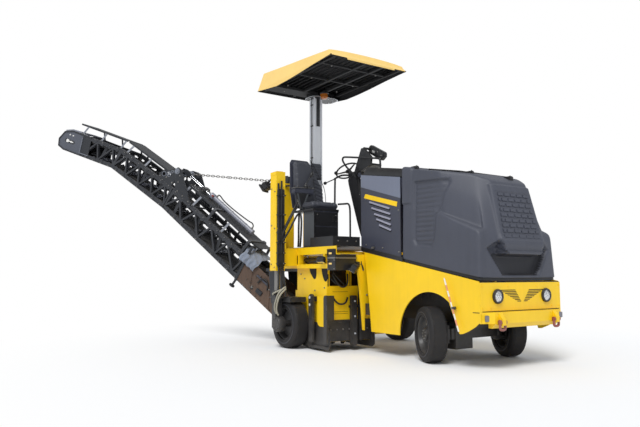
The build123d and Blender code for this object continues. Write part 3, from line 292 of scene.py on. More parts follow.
# %% The recipe for a worn coat
def coat(name, colour, roughness, metallic=0.0, gloss=0.0, drift=0.08, runs=0.4, bare=(0.30, 0.29, 0.28),
         wear=0.5, dust=(0.42, 0.39, 0.35), on_top=0.35, near_ground=0.55, ground=0.9, grain=0.0006,
         grain_scale=350.0, edge_width=0.005):
    material = bpy.data.materials.new(name)
    tree = open_tree(material)
    tone = put(tree, "ShaderNodeGroup", {"node_tree": colour_drift}, Colour=(*colour, 1), Drift=drift,
               Cloud_Scale=2.2, Runs=runs)
    edges = put(tree, "ShaderNodeGroup", {"node_tree": worn_edges}, Width=edge_width, Chip_Scale=24.0,
                Amount=wear)
    rubbed = put(tree, "ShaderNodeMix", {"data_type": "RGBA"}, i0=edges.outputs["Mask"],
                 i6=tone.outputs["Colour"], i7=(*bare, 1))
    film = put(tree, "ShaderNodeGroup", {"node_tree": settled_dust}, On_Top=on_top, Near_Ground=near_ground,
               Ground_Height=ground, Patch_Scale=5.0)
    dusty = put(tree, "ShaderNodeMix", {"data_type": "RGBA"}, i0=film.outputs["Mask"],
                i6=rubbed.outputs[2], i7=(*dust, 1))
    dull = maths(tree, "MULTIPLY_ADD", film.outputs["Mask"], 0.45, roughness, clamp=True)
    smear = maths(tree, "MULTIPLY_ADD", tone.outputs["Cloud"], 0.16, dull, clamp=True)
    skin = put(tree, "ShaderNodeGroup", {"node_tree": moulded_grain}, Scale=grain_scale, Pores=0.6)
    bump = put(tree, "ShaderNodeBump", Strength=0.35, Distance=grain, Height=skin.outputs["Height"])
    shader = put(tree, "ShaderNodeBsdfPrincipled", Metallic=metallic, Coat_Weight=gloss, Coat_Roughness=0.22,
                 Base_Color=dusty.outputs[2], Roughness=smear, Normal=bump.outputs["Normal"])
    put(tree, "ShaderNodeOutputMaterial", Surface=shader.outputs[0])
    return material


print("recipe ready")

# %% The finishes
yellow = coat("yellow_paint", (0.97, 0.62, 0.003), 0.34, gloss=0.10, drift=0.08, bare=(0.34, 0.20, 0.03),
              wear=0.35, dust=(0.52, 0.33, 0.09), on_top=0.10, near_ground=0.22, ground=0.7)
# A paler yellow for the canopy roof: painted highlight over the yellow paint.
yellow_painted_highlight = coat("yellow_painted_highlight", (0.97, 0.66, 0.20), 0.40, gloss=0.1, drift=0.06,
                       bare=(0.8, 0.6, 0.25), wear=0.2, dust=(0.75, 0.6, 0.35), on_top=0.2, near_ground=0.0)
slate_plastic = coat("slate_plastic", (0.061, 0.066, 0.088), 0.42, drift=0.12, bare=(0.13, 0.14, 0.16),
                     wear=0.25, dust=(0.13, 0.13, 0.145), on_top=0.30, near_ground=0.0, grain=0.0012,
                     grain_scale=260.0)
slate_panel = coat("slate_panel", (0.046, 0.050, 0.073), 0.34, gloss=0.10, drift=0.08, bare=(0.2, 0.2, 0.2),
                   dust=(0.15, 0.15, 0.17), on_top=0.20, near_ground=0.0)
black_paint = coat("black_paint", (0.014, 0.014, 0.016), 0.36, gloss=0.2, drift=0.2, bare=(0.16, 0.15, 0.14),
                   wear=0.6, dust=(0.13, 0.115, 0.10), on_top=0.4, near_ground=0.5)
boom_paint = coat("boom_paint", (0.030, 0.032, 0.038), 0.42, drift=0.25, bare=(0.22, 0.21, 0.20), wear=0.8,
                  dust=(0.20, 0.20, 0.21), on_top=0.55, near_ground=0.3)
bare_steel = coat("bare_steel", (0.30, 0.29, 0.275), 0.38, metallic=0.85, drift=0.25, bare=(0.5, 0.49, 0.47),
                  dust=(0.17, 0.14, 0.115), on_top=0.3, near_ground=0.6)
drum_steel = coat("drum_steel", (0.16, 0.15, 0.14), 0.5, metallic=0.6, drift=0.35, bare=(0.5, 0.48, 0.45),
                  wear=0.9, dust=(0.10, 0.085, 0.07), on_top=0.4, near_ground=0.7)
engine_iron = coat("engine_iron", (0.05, 0.05, 0.055), 0.55, metallic=0.2, drift=0.3, wear=0.5,
                   dust=(0.12, 0.10, 0.08))
tyre_rubber = coat("tyre_rubber", (0.0105, 0.0100, 0.0112), 0.60, drift=0.25, runs=0.0,
                   bare=(0.055, 0.050, 0.050), wear=0.9, dust=(0.050, 0.042, 0.039), on_top=0.30,
                   near_ground=0.5, ground=0.50, grain=0.0022, grain_scale=120.0, edge_width=0.02)
belt_rubber = coat("belt_rubber", (0.022, 0.022, 0.023), 0.7, drift=0.25, bare=(0.07, 0.065, 0.06),
                   dust=(0.13, 0.12, 0.11), on_top=0.6, near_ground=0.3)
hose_rubber = coat("hose_rubber", (0.013, 0.013, 0.014), 0.42, drift=0.2, wear=0.2, dust=(0.10, 0.09, 0.08),
                   grain=0.0004, grain_scale=900.0)
chrome = coat("chrome", (0.72, 0.73, 0.75), 0.10, metallic=1.0, drift=0.05, bare=(0.8, 0.8, 0.8), wear=0.0,
              dust=(0.35, 0.34, 0.33), on_top=0.15, near_ground=0.0, grain=0.0001)
aluminium = coat("aluminium", (0.72, 0.74, 0.77), 0.34, metallic=0.55, drift=0.06, runs=1.0,
                 bare=(0.9, 0.9, 0.9), wear=0.2, dust=(0.5, 0.5, 0.5), on_top=0.1, near_ground=0.0,
                 grain=0.0003)
seat_vinyl = coat("seat_vinyl", (0.056, 0.060, 0.076), 0.44, drift=0.12, bare=(0.06, 0.06, 0.07), wear=0.3,
                  dust=(0.10, 0.10, 0.10), on_top=0.25, near_ground=0.0, grain=0.0012, grain_scale=420.0)
band_orange = coat("band_orange", (0.74, 0.30, 0.17), 0.42, drift=0.1, bare=(0.5, 0.4, 0.35), wear=0.7,
                   dust=(0.5, 0.4, 0.33))
red_paint = coat("red_paint", (0.27, 0.020, 0.010), 0.34, gloss=0.3, drift=0.1,
                 bare=(0.3, 0.2, 0.18), wear=0.7)
white_paint = coat("white_paint", (0.80, 0.79, 0.76), 0.40, gloss=0.1, drift=0.05, dust=(0.5, 0.47, 0.42))
rust_steel = coat("rust_steel", (0.12, 0.085, 0.065), 0.6, metallic=0.35, drift=0.4, bare=(0.35, 0.32, 0.30),
                  wear=0.8, dust=(0.16, 0.12, 0.09), on_top=0.6)
grey_canvas = coat("grey_canvas", (0.24, 0.275, 0.345), 0.75, drift=0.25, wear=0.2, dust=(0.24, 0.23, 0.22),
                   grain=0.002, grain_scale=300.0)
print(len(bpy.data.materials), "finishes")

# %% [markdown]
# ## Finishes for the CAD pieces that stay
# Folded plate, tube and lattice already have their right shapes in the CAD model, so those
# nodes are kept and only given a proper finish in their material slots.

# %% Paint the kept nodes
node_finish = {
    yellow: ["side_skirts", "front_panel", "leg_guides", "rear_frame", "bulkhead", "left_frame", "rear_wall",
             "rear_upright", "drum_housing", "conveyor_mast"],
    yellow_painted_highlight: ["canopy_roof"],
    slate_plastic: ["hood_shell"],
    slate_panel: ["cowl_panels"],
    black_paint: ["chassis_frame", "platform_deck", "plate_guides", "scraper", "knuckle_right",
                  "knuckle_left",
                  "front_rim_right", "front_rim_left", "rear_rim_right", "rear_rim_left", "side_plate_right",
                  "side_plate_left", "seat_pedestal", "console", "handrails", "steering_wheel", "work_lamps",
                  "lift_cylinder", "crosshead"],
    boom_paint: ["base_truss", "base_cover", "head_truss", "head_cover", "slew_yoke"],
    rust_steel: ["base_housing"],
    bare_steel: ["leg_right", "leg_left", "chain_mast_half", "chain_boom_half"],
    drum_steel: ["milling_drum"],
    engine_iron: ["engine_block"],
    tyre_rubber: ["front_tyre_right", "front_tyre_left", "rear_tyre_right", "rear_tyre_left"],
    belt_rubber: ["base_belt", "head_belt"],
    chrome: ["lift_guides"],
    aluminium: ["canopy_post"],
    seat_vinyl: ["seat_cushion", "seat_back"],
    red_paint: ["tow_shackles"],
    white_paint: ["sighting_rod", "headlamps"],
}
for material, names in node_finish.items():
    for name in names:
        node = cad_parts[name]
        node.data.materials.clear()
        node.data.materials.append(material)
print("finished", sum(len(names) for names in node_finish.values()), "nodes")

# %% [markdown]
# ## A workbench for solid bits
# Brackets, bolts and castings are made of a few simple bits, collected in one mesh per piece.  Plates and
# slabs get a small bevel unless they are given none, because real edges catch the light.

# %% The workbench
def harden(name, bits):
    """A plain mesh from editable bits, which are freed."""
    mesh = bpy.data.meshes.new(name)
    bits.to_mesh(mesh)
    bits.free()
    return mesh


class Bench:
    """Collects bits in one mesh; the slot number picks the finish of each bit."""

    def __init__(self):
        self.mesh = bmesh.new()

    def take(self, bit, slot, edge=0.0):
        if edge > 0:
            bmesh.ops.bevel(bit, geom=list(bit.edges), offset=edge, segments=2, affect="EDGES",
                            clamp_overlap=True)
        bmesh.ops.recalc_face_normals(bit, faces=list(bit.faces))
        for face in bit.faces:
            face.material_index = slot
        self.add(bit)

    def add(self, bit):
        kept = harden("bit", bit)
        self.mesh.from_mesh(kept)
        bpy.data.meshes.remove(kept)

    def plate(self, outline, across, slot=0, edge=0.003):
        """A flat outline of points, made thick along a vector."""
        bit = bmesh.new()
        low = [bit.verts.new(Vector(p)) for p in outline]
        high = [bit.verts.new(Vector(p) + Vector(across)) for p in outline]
        bit.faces.new(low)
        bit.faces.new(list(reversed(high)))
        for i in range(len(low)):
            j = (i + 1) % len(low)
            bit.faces.new((low[j], low[i], high[i], high[j]))
        self.take(bit, slot, edge)

    def facing_x(self, x, outline, thick, slot=0, edge=0.003):
        """A plate thick along x; its outline gives y and z."""
        self.plate([(x, y, z) for y, z in outline], (thick, 0, 0), slot, edge)

    def facing_y(self, y, outline, thick, slot=0, edge=0.003):
        """A plate thick along y; its outline gives x and z."""
        self.plate([(x, y, z) for x, z in outline], (0, thick, 0), slot, edge)

    def facing_z(self, z, outline, thick, slot=0, edge=0.003):
        """A plate thick along z; its outline gives x and y."""
        self.plate([(x, y, z) for x, y in outline], (0, 0, thick), slot, edge)

    def slab(self, low, high, slot=0, edge=0.004):
        """A box between two corners."""
        (x0, y0, z0), (x1, y1, z1) = low, high
        self.plate([(x0, y0, z0), (x1, y0, z0), (x1, y1, z0), (x0, y1, z0)], (0, 0, z1 - z0), slot, edge)

    def turned(self, profile, centre, axis, slot=0, steps=40):
        """A lathe: pairs of distance along the axis and radius, swept round it."""
        axis = Vector(axis).normalized()
        first = axis.orthogonal().normalized()
        second = axis.cross(first)
        bit = bmesh.new()
        rings = []
        for along, radius in profile:
            middle = Vector(centre) + axis * along
            if radius < 1e-5:
                rings.append([bit.verts.new(middle)])
                continue
            rings.append([bit.verts.new(middle + first * (radius * math.cos(2 * math.pi * k / steps))
                                        + second * (radius * math.sin(2 * math.pi * k / steps)))
                          for k in range(steps)])
        for one, two in zip(rings, rings[1:]):
            for k in range(steps):
                m = (k + 1) % steps
                if len(one) == 1 and len(two) > 1:
                    bit.faces.new((one[0], two[k], two[m]))
                elif len(two) == 1 and len(one) > 1:
                    bit.faces.new((one[k], two[0], one[m]))
                elif len(one) > 1:
                    bit.faces.new((one[k], two[k], two[m], one[m]))
        self.take(bit, slot)

    def bar(self, start, end, radius, slot=0, steps=18):
        """A round bar between two points, with chamfered ends."""
        start, end = Vector(start), Vector(end)
        length = (end - start).length
        lip = min(radius * 0.15, length * 0.2)
        self.turned([(0, 0), (0, radius - lip), (lip, radius), (length - lip, radius), (length, radius - lip),
                     (length, 0)], start, end - start, slot, steps)

    def bolt(self, at, axis, size=0.010, slot=0):
        """A washer with a six-sided head on it."""
        axis = Vector(axis).normalized()
        self.turned([(0, 0), (0, size * 1.25), (size * 0.2, size * 1.25), (size * 0.22, 0)], at,
                    axis, slot, 16)
        self.turned([(0, 0), (0, size), (size * 0.85, size), (size * 1.05, size * 0.8), (size * 1.05, 0)],
                    Vector(at) + axis * size * 0.2, axis, slot, 6)

    def done(self, name, finishes, body, stands_for=(), angle=40):
        return settle(name, harden(name, self.mesh), finishes, body, stands_for, angle)


print("bench ready")

# %% Pieces and hoses
def join_up(made, body, stands_for):
    """Puts a piece in the scene, on a CAD body, in place of the nodes that it stands for."""
    scene.collection.objects.link(made)
    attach(made, body)
    if stands_for:
        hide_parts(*stands_for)
    return made


def settle(name, mesh, finishes, body, stands_for=(), angle=40):
    """Turns a mesh into a piece with its finishes, riding on a CAD body."""
    for face in mesh.polygons:
        face.use_smooth = True
    mesh.set_sharp_from_angle(angle=math.radians(angle))
    for finish in finishes:
        mesh.materials.append(finish)
    print(name, len(mesh.polygons), "faces")
    return join_up(bpy.data.objects.new(name, mesh), body, stands_for)


def tube(name, points, radius):
    """A smooth curve with a round section, made of one or more runs."""
    curve = bpy.data.curves.new(name, "CURVE")
    curve.dimensions = "3D"
    curve.bevel_depth = radius
    curve.bevel_resolution = 3
    curve.use_fill_caps = True
    for run in points:
        spline = curve.splines.new("NURBS")
        spline.points.add(len(run) - 1)
        for point, place in zip(spline.points, run):
            point.co = (*place, 1)
        spline.order_u = 3
        spline.use_endpoint_u = True
        spline.resolution_u = 6
    return bpy.data.objects.new(name, curve)


def hose(name, points, radius, finish, body, stands_for=()):
    """Bent tubes of one thickness that ride on a CAD body."""
    made = tube(name, points, radius)
    made.data.materials.append(finish)
    print(name, len(points), "runs")
    return join_up(made, body, stands_for)


print("pieces and hoses can be made")

# %% [markdown]
# ## Moulded hood
# The real hood is one rotationally moulded shell: wide flat facets with soft corners, a sunk
# panel of louvre ribs on each side, a long ledge running forward, and a raised middle panel
# over a deep recess in the nose.  It could be cut from a block, but soft steps between large
# facets are easier as a fine grid: the grid first follows the CAD facets, a few passes of
# averaging round the corners, and then every vertex moves along its normal by the height that
# the recesses, ribs and ledges ask for.

# %% Shape functions for the hood
def step(low, high, value):
    """0 below low, 1 above high, and a soft step between."""
    t = min(1.0, max(0.0, (value - low) / (high - low)))
    return t * t * (3 - 2 * t)


def inside(outline, a, b):
    """Distance from a point to a closed outline: positive inside, negative outside."""
    best, within = 1e9, False
    for (a0, b0), (a1, b1) in zip(outline, outline[1:] + outline[:1]):
        da, db = a1 - a0, b1 - b0
        t = min(1.0, max(0.0, ((a - a0) * da + (b - b0) * db) / (da * da + db * db)))
        best = min(best, math.hypot(a - a0 - t * da, b - b0 - t * db))
        if (b0 > b) != (b1 > b) and a < a0 + (b - b0) / (b1 - b0) * da:
            within = not within
    return best if within else -best


def border(x):
    """The line where the grey hood meets the yellow body."""
    return 1.158 - 0.1867 * (x - 0.880)


# half outlines of the full lower body and of the tapering upper body: a low one and a high one
hood_tiers = {
    "lower": (0.85, 1.33, ((1.550, 0.600), (2.300, 0.600), (2.612, 0.574), (2.632, 0.300), (2.632, 0.0)),
              ((1.550, 0.590), (2.260, 0.588), (2.596, 0.540), (2.620, 0.290), (2.620, 0.0))),
    "upper": (1.15, 1.81, ((1.550, 0.594), (2.230, 0.588), (2.618, 0.492), (2.676, 0.290), (2.676, 0.0)),
              ((1.550, 0.580), (2.095, 0.552), (2.412, 0.362), (2.518, 0.262), (2.518, 0.0))),
}
hood_breaks = (0.0, 0.452, 0.690, 0.812, 1.0)
hood_roof = [(1.40, 2.0915), (2.34, 1.915), (2.48, 1.850), (2.80, 1.640)]


def roof_height(x):
    for (x0, z0), (x1, z1) in zip(hood_roof, hood_roof[1:]):
        if x <= x1:
            return z0 + (x - x0) / (x1 - x0) * (z1 - z0)
    return hood_roof[-1][1]


def tier_point(tier, share, z):
    low, high, start, end = hood_tiers[tier]
    rise = (z - low) / (high - low)
    k = max(i for i in range(4) if share >= hood_breaks[i])
    t = (share - hood_breaks[k]) / (hood_breaks[k + 1] - hood_breaks[k])
    corners = [[a[n] + rise * (b[n] - a[n]) for n in (0, 1)] for a, b in zip(start, end)]
    return [corners[k][n] + t * (corners[k + 1][n] - corners[k][n]) for n in (0, 1)]


def ledge_height(share):
    """The top of the full lower body, falling from the louvres to the front corner."""
    line = ((0.0, 1.640), (0.330, 1.549), (0.690, 1.320), (0.740, 1.200), (0.80, 1.16), (1.001, 1.160))
    for (s0, z0), (s1, z1) in zip(line, line[1:]):
        if share <= s1:
            return z0 + (share - s0) / (s1 - s0) * (z1 - z0)
    return line[-1][1]


def hood_plan(share, z):
    """A point of the half outline at a height; share runs from the rear edge to the nose."""
    low = tier_point("lower", share, z)
    high = tier_point("upper", share, z)
    top = ledge_height(share)
    part = step(top - 0.012, top + 0.030, z)
    return [low[n] + part * (high[n] - low[n]) for n in (0, 1)]


print("nose at mid height", [round(v, 3) for v in hood_plan(1.0, 1.4)])

# %% The hood's raised and sunk forms
louvre_field = [(1.705, 1.900), (1.705, 1.262), (1.745, 1.195), (1.990, 1.172), (2.030, 1.250),
                (2.050, 1.500), (2.110, 1.600), (2.190, 1.840), (2.170, 1.885)]
ledge_line = [(2.050, 1.549), (2.600, 1.320)]
nose_panel = [(-0.290, 1.790), (-0.318, 1.230), (-0.250, 1.087), (0.250, 1.087), (0.318, 1.230),
              (0.290, 1.790)]
nose_recess = [(-0.463, 1.150), (-0.330, 1.235), (0.330, 1.235), (0.463, 1.150), (0.270, 0.882),
               (-0.270, 0.882)]
grille_field = [(-0.262, 1.722), (-0.282, 1.228), (0.282, 1.228), (0.262, 1.722)]


def hood_relief(share, x, y, z, on_roof):
    """How far the surface stands out (+) or in (-) at a point of the hood."""
    height = 0.016 * step(1.650, 1.672, z) * (1 - step(1.672, 1.692, x))
    if on_roof:
        return height
    if share < 0.69:
        depth = inside(louvre_field, x, z)
        rib = 0.5 + 0.5 * math.cos(2 * math.pi * (z - 1.2655) / 0.0505)
        height -= 0.026 * step(-0.002, 0.022, depth)
        height += 0.011 * rib * step(0.030, 0.048, depth) * (1 - 0.75 * step(1.93, 2.10, x))
        (x0, z0), (x1, z1) = ledge_line
        above = z - z0 - (x - x0) / (x1 - x0) * (z1 - z0)
        height -= 0.020 * step(-0.002, 0.016, above) * (1 - step(0.02, 0.30, above)) * step(2.00, 2.12, x)
    if share > 0.72:
        panel = step(-0.012, 0.010, inside(nose_panel, y, z))
        height += panel * (0.018 + max(0.0, 2.694 - x - 0.018) * (1 - step(1.13, 1.30, z)))
        height -= 0.072 * step(-0.004, 0.030, inside(nose_recess, y, z)) * (1 - panel)
        height -= 0.007 * step(-0.004, 0.006, inside(grille_field, y, z))
    return height


print("relief at the nose", round(hood_relief(1.0, 2.62, 0.0, 1.4, False), 4))

# %% Build the moulded hood
columns, side_rows, roof_rows = 118, 118, 34
seal_height = 0.036
base = []
for i in range(columns + 1):
    share = i / columns
    low = 0.9
    top = 1.9
    for _ in range(6):
        low = border(hood_plan(share, low)[0]) + seal_height
        top = roof_height(hood_plan(share, top)[0])
    column = []
    for j in range(side_rows + 1):
        z = low + (top - low) * j / side_rows
        x, y = hood_plan(share, z)
        column.append(Vector((x, -y, z)))
    edge = column[-1].copy()
    middle_x = edge.x if edge.x < 2.2 else 2.2 + (edge.x - 2.2) * 0.35
    for j in range(1, roof_rows + 1):
        t = j / roof_rows
        x = edge.x + (middle_x - edge.x) * t
        column.append(Vector((x, edge.y * (1 - t), roof_height(x) + 0.012 * math.sin(math.pi * t / 2))))
    base.append(column)
print("grid of", len(base), "columns")

# %% Round the hood's corners
full = base + [[Vector((p.x, -p.y, p.z)) for p in column] for column in reversed(base[:-1])]
last, rows = len(full) - 1, len(full[0]) - 1
for _ in range(6):
    full = [[full[i][j] if i in (0, last) else (full[i - 1][j] + 2 * full[i][j] + full[i + 1][j]) / 4
             for j in range(rows + 1)] for i in range(last + 1)]
    full = [[full[i][j] if j in (0, rows) else (full[i][j - 1] + 2 * full[i][j] + full[i][j + 1]) / 4
             for j in range(rows + 1)] for i in range(last + 1)]
print("averaged", last + 1, "by", rows + 1, "points")

# %% Raise and sink the surface
moved = []
for i in range(last + 1):
    share = min(i, last - i) / columns
    column = []
    for j in range(rows + 1):
        here = full[i][j]
        across = full[min(i + 1, last)][j] - full[max(i - 1, 0)][j]
        upward = full[i][min(j + 1, rows)] - full[i][max(j - 1, 0)]
        out = across.cross(upward)
        out = out.normalized() if out.length > 1e-9 else Vector((0, 0, 1))
        column.append(here + out * hood_relief(share, here.x, here.y, here.z, j > side_rows + 2))
    moved.append(column)
points = [p for column in moved for p in column]
quads = [(i * (rows + 1) + j, (i + 1) * (rows + 1) + j, (i + 1) * (rows + 1) + j + 1, i * (rows + 1) + j + 1)
         for i in range(last) for j in range(rows)]
print(len(quads), "quads")

# %% The hood's mesh
shell = bmesh.new()
corners = [shell.verts.new(p) for p in points]
for quad in quads:
    face = shell.faces.new([corners[k] for k in quad])
    middle = face.calc_center_median()
    # Faces deep in the nose recess take the darker plastic of slot 1: painted shade in the recess.
    if middle.x > 2.3 and 0.88 < middle.z and inside(nose_recess, middle.y,
                                                     middle.z) > 0.012 and middle.z < 1.10:
        face.material_index = 1
bmesh.ops.remove_doubles(shell, verts=list(shell.verts), dist=0.0004)
bmesh.ops.recalc_face_normals(shell, faces=list(shell.faces))
# A darker copy of the hood plastic for the recess: painted shade.
recess_painted_shade = coat("recess_painted_shade", (0.020, 0.021, 0.028), 0.5, drift=0.12, dust=(0.12, 0.11, 0.10))
moulded_hood = settle("moulded_hood", harden("moulded_hood", shell), [slate_plastic, recess_painted_shade], "hood",
                      ["hood_shell"], 60)
wall = moulded_hood.modifiers.new("wall", "SOLIDIFY")
wall.thickness = 0.008
wall.offset = -1
print("hood width", round(2 * abs(full[0][0].y), 3))

# %% [markdown]
# The hood rests on a black rubber seal, seen as a dark band above the yellow steel.  The nose
# grille is a field of small raised bricks in staggered rows, and the catches on the roof are
# black plastic pads.

# %% Hood seal
seal = bmesh.new()
loops = []
for drop, inset in ((0.006, 0.022), (0.006, 0.010), (-0.030, 0.008), (-0.030, 0.022)):
    loop = []
    for i in range(0, last + 1, 2):
        here = full[i][0]
        flat = Vector((full[min(i + 2, last)][0].y - full[max(i - 2, 0)][0].y,
                       full[max(i - 2, 0)][0].x - full[min(i + 2, last)][0].x, 0)).normalized()
        loop.append(seal.verts.new(here - flat * inset + Vector((0, 0, drop))))
    loops.append(loop)
for one, two in zip(loops, loops[1:] + loops[:1]):
    for k in range(len(one) - 1):
        seal.faces.new((one[k], one[k + 1], two[k + 1], two[k]))
bmesh.ops.recalc_face_normals(seal, faces=list(seal.faces))
settle("hood_seal", harden("hood_seal", seal), [hose_rubber], "hood")

# %% Nose grille
grille = Bench()
nose_slope, brick_tall = -0.2394, 0.036
for row in range(9):
    z = 1.252 + row * 0.0528
    front = 2.676 + nose_slope * (z - 1.15) + 0.009
    run = 0.546 - 0.009 * row
    pitch = run / 5
    for k in range(7):
        y = -run / 2 + pitch * (k - (0.5 if row % 2 else 0.0))
        y0, y1 = max(y, -run / 2), min(y + pitch - 0.010, run / 2)
        if y1 - y0 > 0.02:
            lean = nose_slope * brick_tall
            grille.plate([(front, y0, z), (front, y1, z), (front + lean, y1 - 0.004, z + brick_tall),
                          (front + lean, y0 + 0.004, z + brick_tall)], (0.010, 0, 0.002), edge=0.005)
grille.done("nose_grille", [slate_plastic], "hood")

# %% Roof catches
catches = Bench()
for x, y, z, long, wide in ((1.66, -0.505, 2.055, 0.11, 0.05), (1.66, 0.505, 2.055, 0.11, 0.05),
                            (2.26, -0.30, 1.937, 0.10, 0.05), (2.40, 0.12, 1.898, 0.11, 0.06)):
    catches.slab((x - long / 2, y - wide / 2, z - 0.03), (x + long / 2, y + wide / 2, z + 0.018), edge=0.009)
    catches.bolt((x + long * 0.3, y, z + 0.018), (0, 0, 1), 0.006)
for k in range(15):
    x = 1.76 + 0.031 * k
    catches.slab((x, -0.40, roof_height(x) + 0.004), (x + 0.016, 0.40, roof_height(x) + 0.020), edge=0.003)
catches.done("roof_catches", [black_paint], "hood")

# %% [markdown]
# ## Cowl and front body
# The folded cowl keeps its CAD plates.  Added to it are the dark top cover, the plain yellow stripe, five
# slanted louvre lips on each side that catch the light, painted pale grey as a highlight, with a thin dark
# strip of painted shade under each, the upper band above the crease in a lighter slate that paints its
# highlight, the bottom flange with its bolts, and the seam strips where the panels meet.

# %% Dress the cowl
# A pale grey for the louvre lips: painted highlight where they catch the light.
lip_painted_highlight = coat("lip_painted_highlight", (0.30, 0.30, 0.38), 0.35, gloss=0.1, drift=0.05, bare=(0.4, 0.4, 0.45),
                 near_ground=0.0, dust=(0.3, 0.3, 0.33))
# A lighter slate for the cowl's upper band: painted highlight where the band tilts to the sky.
slate_painted_highlight = coat("slate_painted_highlight", (0.165, 0.185, 0.250), 0.36, gloss=0.2, drift=0.07, bare=(0.3, 0.3, 0.32),
                   wear=0.2, dust=(0.26, 0.27, 0.30), on_top=0.3, near_ground=0.0)
trim = Bench()
cover_line = [(0.5735, 2.066, 1.953), (0.5735, 2.080, 1.967), (0.494, 2.1815, 2.0615), (0.0, 2.1815, 2.0615)]
for side in (-1, 1):
    for (h0, a0, b0), (h1, a1, b1) in zip(cover_line, cover_line[1:]):
        ends = [(0.817, side * h0, a0), (0.817, side * h1, a1), (1.533, side * h1, b1),
                (1.533, side * h0, b0)]
        trim.plate(ends, (0, 0, 0.004), 0, 0.001)
    wall = side * 0.6005
    out = side * 0.003
    trim.facing_y(wall, [(0.908, 1.841), (1.480, 1.695), (1.468, 1.642), (0.881, 1.794)], out, 1, 0.001)
    for x0, z0, x1, z1 in ((0.986, 1.742, 1.349, 1.637), (1.025, 1.670, 1.360, 1.574),
                           (1.075, 1.596, 1.364, 1.516), (1.113, 1.534, 1.370, 1.453),
                           (1.162, 1.462, 1.369, 1.394)):
        # A thin dark strip under each louvre lip: painted shade.
        trim.facing_y(wall, [(x0, z0 - 0.030), (x1, z1 - 0.030), (x1, z1 - 0.006), (x0, z0 - 0.006)],
                      side * 0.001, 3, 0.0)
        # Each lip is pale grey: painted highlight.
        trim.plate([(x0, wall, z0 - 0.006), (x1, wall, z1 - 0.006),
                    (x1 - 0.004, wall + side * 0.012, z1 - 0.016),
                    (x0 + 0.004, wall + side * 0.012, z0 - 0.016)], (0, 0, 0.013), 2, 0.002)
    # The upper band above the crease, in the lighter slate: painted highlight.
    trim.facing_y(wall, [(0.8215, 1.9310), (1.530, 1.7295), (1.530, 1.9640), (0.8215, 2.0780)],
                  side * 0.0025, 5, 0.001)
    trim.facing_y(wall, [(0.8215, border(0.8215) + 0.004), (1.556, border(1.556) + 0.004),
                         (1.556, border(1.556) + 0.052), (0.8215, border(0.8215) + 0.052)],
                  side * 0.004, 0, 0.001)
    for x, z in ((0.915, 1.241), (1.22, 1.195), (1.50, 1.143), (0.915, 1.78), (1.50, 1.60)):
        trim.bolt((x, wall, z), (0, side, 0), 0.008, 4)
    trim.slab((1.030, min(wall, wall + side * 0.022), 1.190), (1.084, max(wall, wall + side * 0.022),
                                                               1.216), 4, 0.006)
    trim.slab((1.5305, min(side * 0.585, side * 0.599), 1.030), (1.5400, max(side * 0.585, side * 0.599),
                                                                 1.110), 0, 0.001)
    trim.facing_y(wall, [(1.5265, 1.09), (1.5325, 1.09), (1.5325, 1.727), (1.5265, 1.727)],
                  side * 0.003, 3, 0.0)
# Near-black for seams and joints, and painted shade in slots, notches and under the louvre lips.
joint_dark_and_slot_shade = coat("joint_dark_and_slot_shade", (0.006, 0.006, 0.007), 0.6, drift=0.1, wear=0.0, on_top=0.0, near_ground=0.0)
trim.done("cowl_trim", [black_paint, yellow, lip_painted_highlight, joint_dark_and_slot_shade, bare_steel, slate_painted_highlight], "machine")

# %% [markdown]
# The nose of the body is one folded yellow plate.  It carries round headlamps in black rims, two fans of air
# slots drawn as thin dark strips, painted shade in the slots, a chamfered bumper with a dark joint above it,
# small grey side markers, and red towing shackles on yellow lugs.

# %% Headlamps
lamp_glass = bpy.data.materials.new("lamp_glass")
tree = open_tree(lamp_glass)
cells = put(tree, "ShaderNodeTexVoronoi", Vector=object_place(tree), Scale=62.0).outputs["Distance"]
dimple = put(tree, "ShaderNodeBump", Strength=0.6, Distance=0.004, Height=cells)
tone = ramp(tree, cells, 0.0, 0.8, to=(0.95, 0.45), soft=False)
shade = put(tree, "ShaderNodeCombineColor", Red=tone, Green=tone, Blue=tone)
shader = put(tree, "ShaderNodeBsdfPrincipled", Metallic=0.75, Roughness=0.12, Coat_Weight=1.0,
             Coat_Roughness=0.03, Base_Color=shade.outputs["Color"], Normal=dimple.outputs["Normal"])
put(tree, "ShaderNodeOutputMaterial", Surface=shader.outputs[0])

lamps = Bench()
lamp_low, lamp_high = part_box("headlamps")
plate_x = lamp_low[0]
lamp_z = (lamp_low[2] + lamp_high[2]) / 2
lamp_y = lamp_high[1] - (lamp_high[2] - lamp_low[2]) / 2
for side in (-1, 1):
    place = (plate_x, side * lamp_y, lamp_z)
    lamps.turned([(0, 0.052), (0, 0.0710), (0.010, 0.0710), (0.019, 0.0680), (0.0235, 0.0620),
                  (0.0235, 0.0545), (0.016, 0.0520), (0.003, 0.0520), (0, 0.052)], place, (1, 0, 0), 0, 48)
    lamps.turned([(0.006, 0), (0.014, 0.0520), (0.016, 0.0520), (0.0195, 0.036), (0.0215, 0.017),
                  (0.0220, 0)], place, (1, 0, 0), 1, 48)
    for turn in (30, 150, 270):
        spoke = math.radians(turn)
        lamps.bolt((plate_x + 0.0215, side * lamp_y + 0.0615 * math.cos(spoke),
                    lamp_z + 0.0615 * math.sin(spoke)), (1, 0, 0), 0.0028, 0)
lamps.done("headlamp_units", [black_paint, lamp_glass], "machine", ["headlamps"], 30)

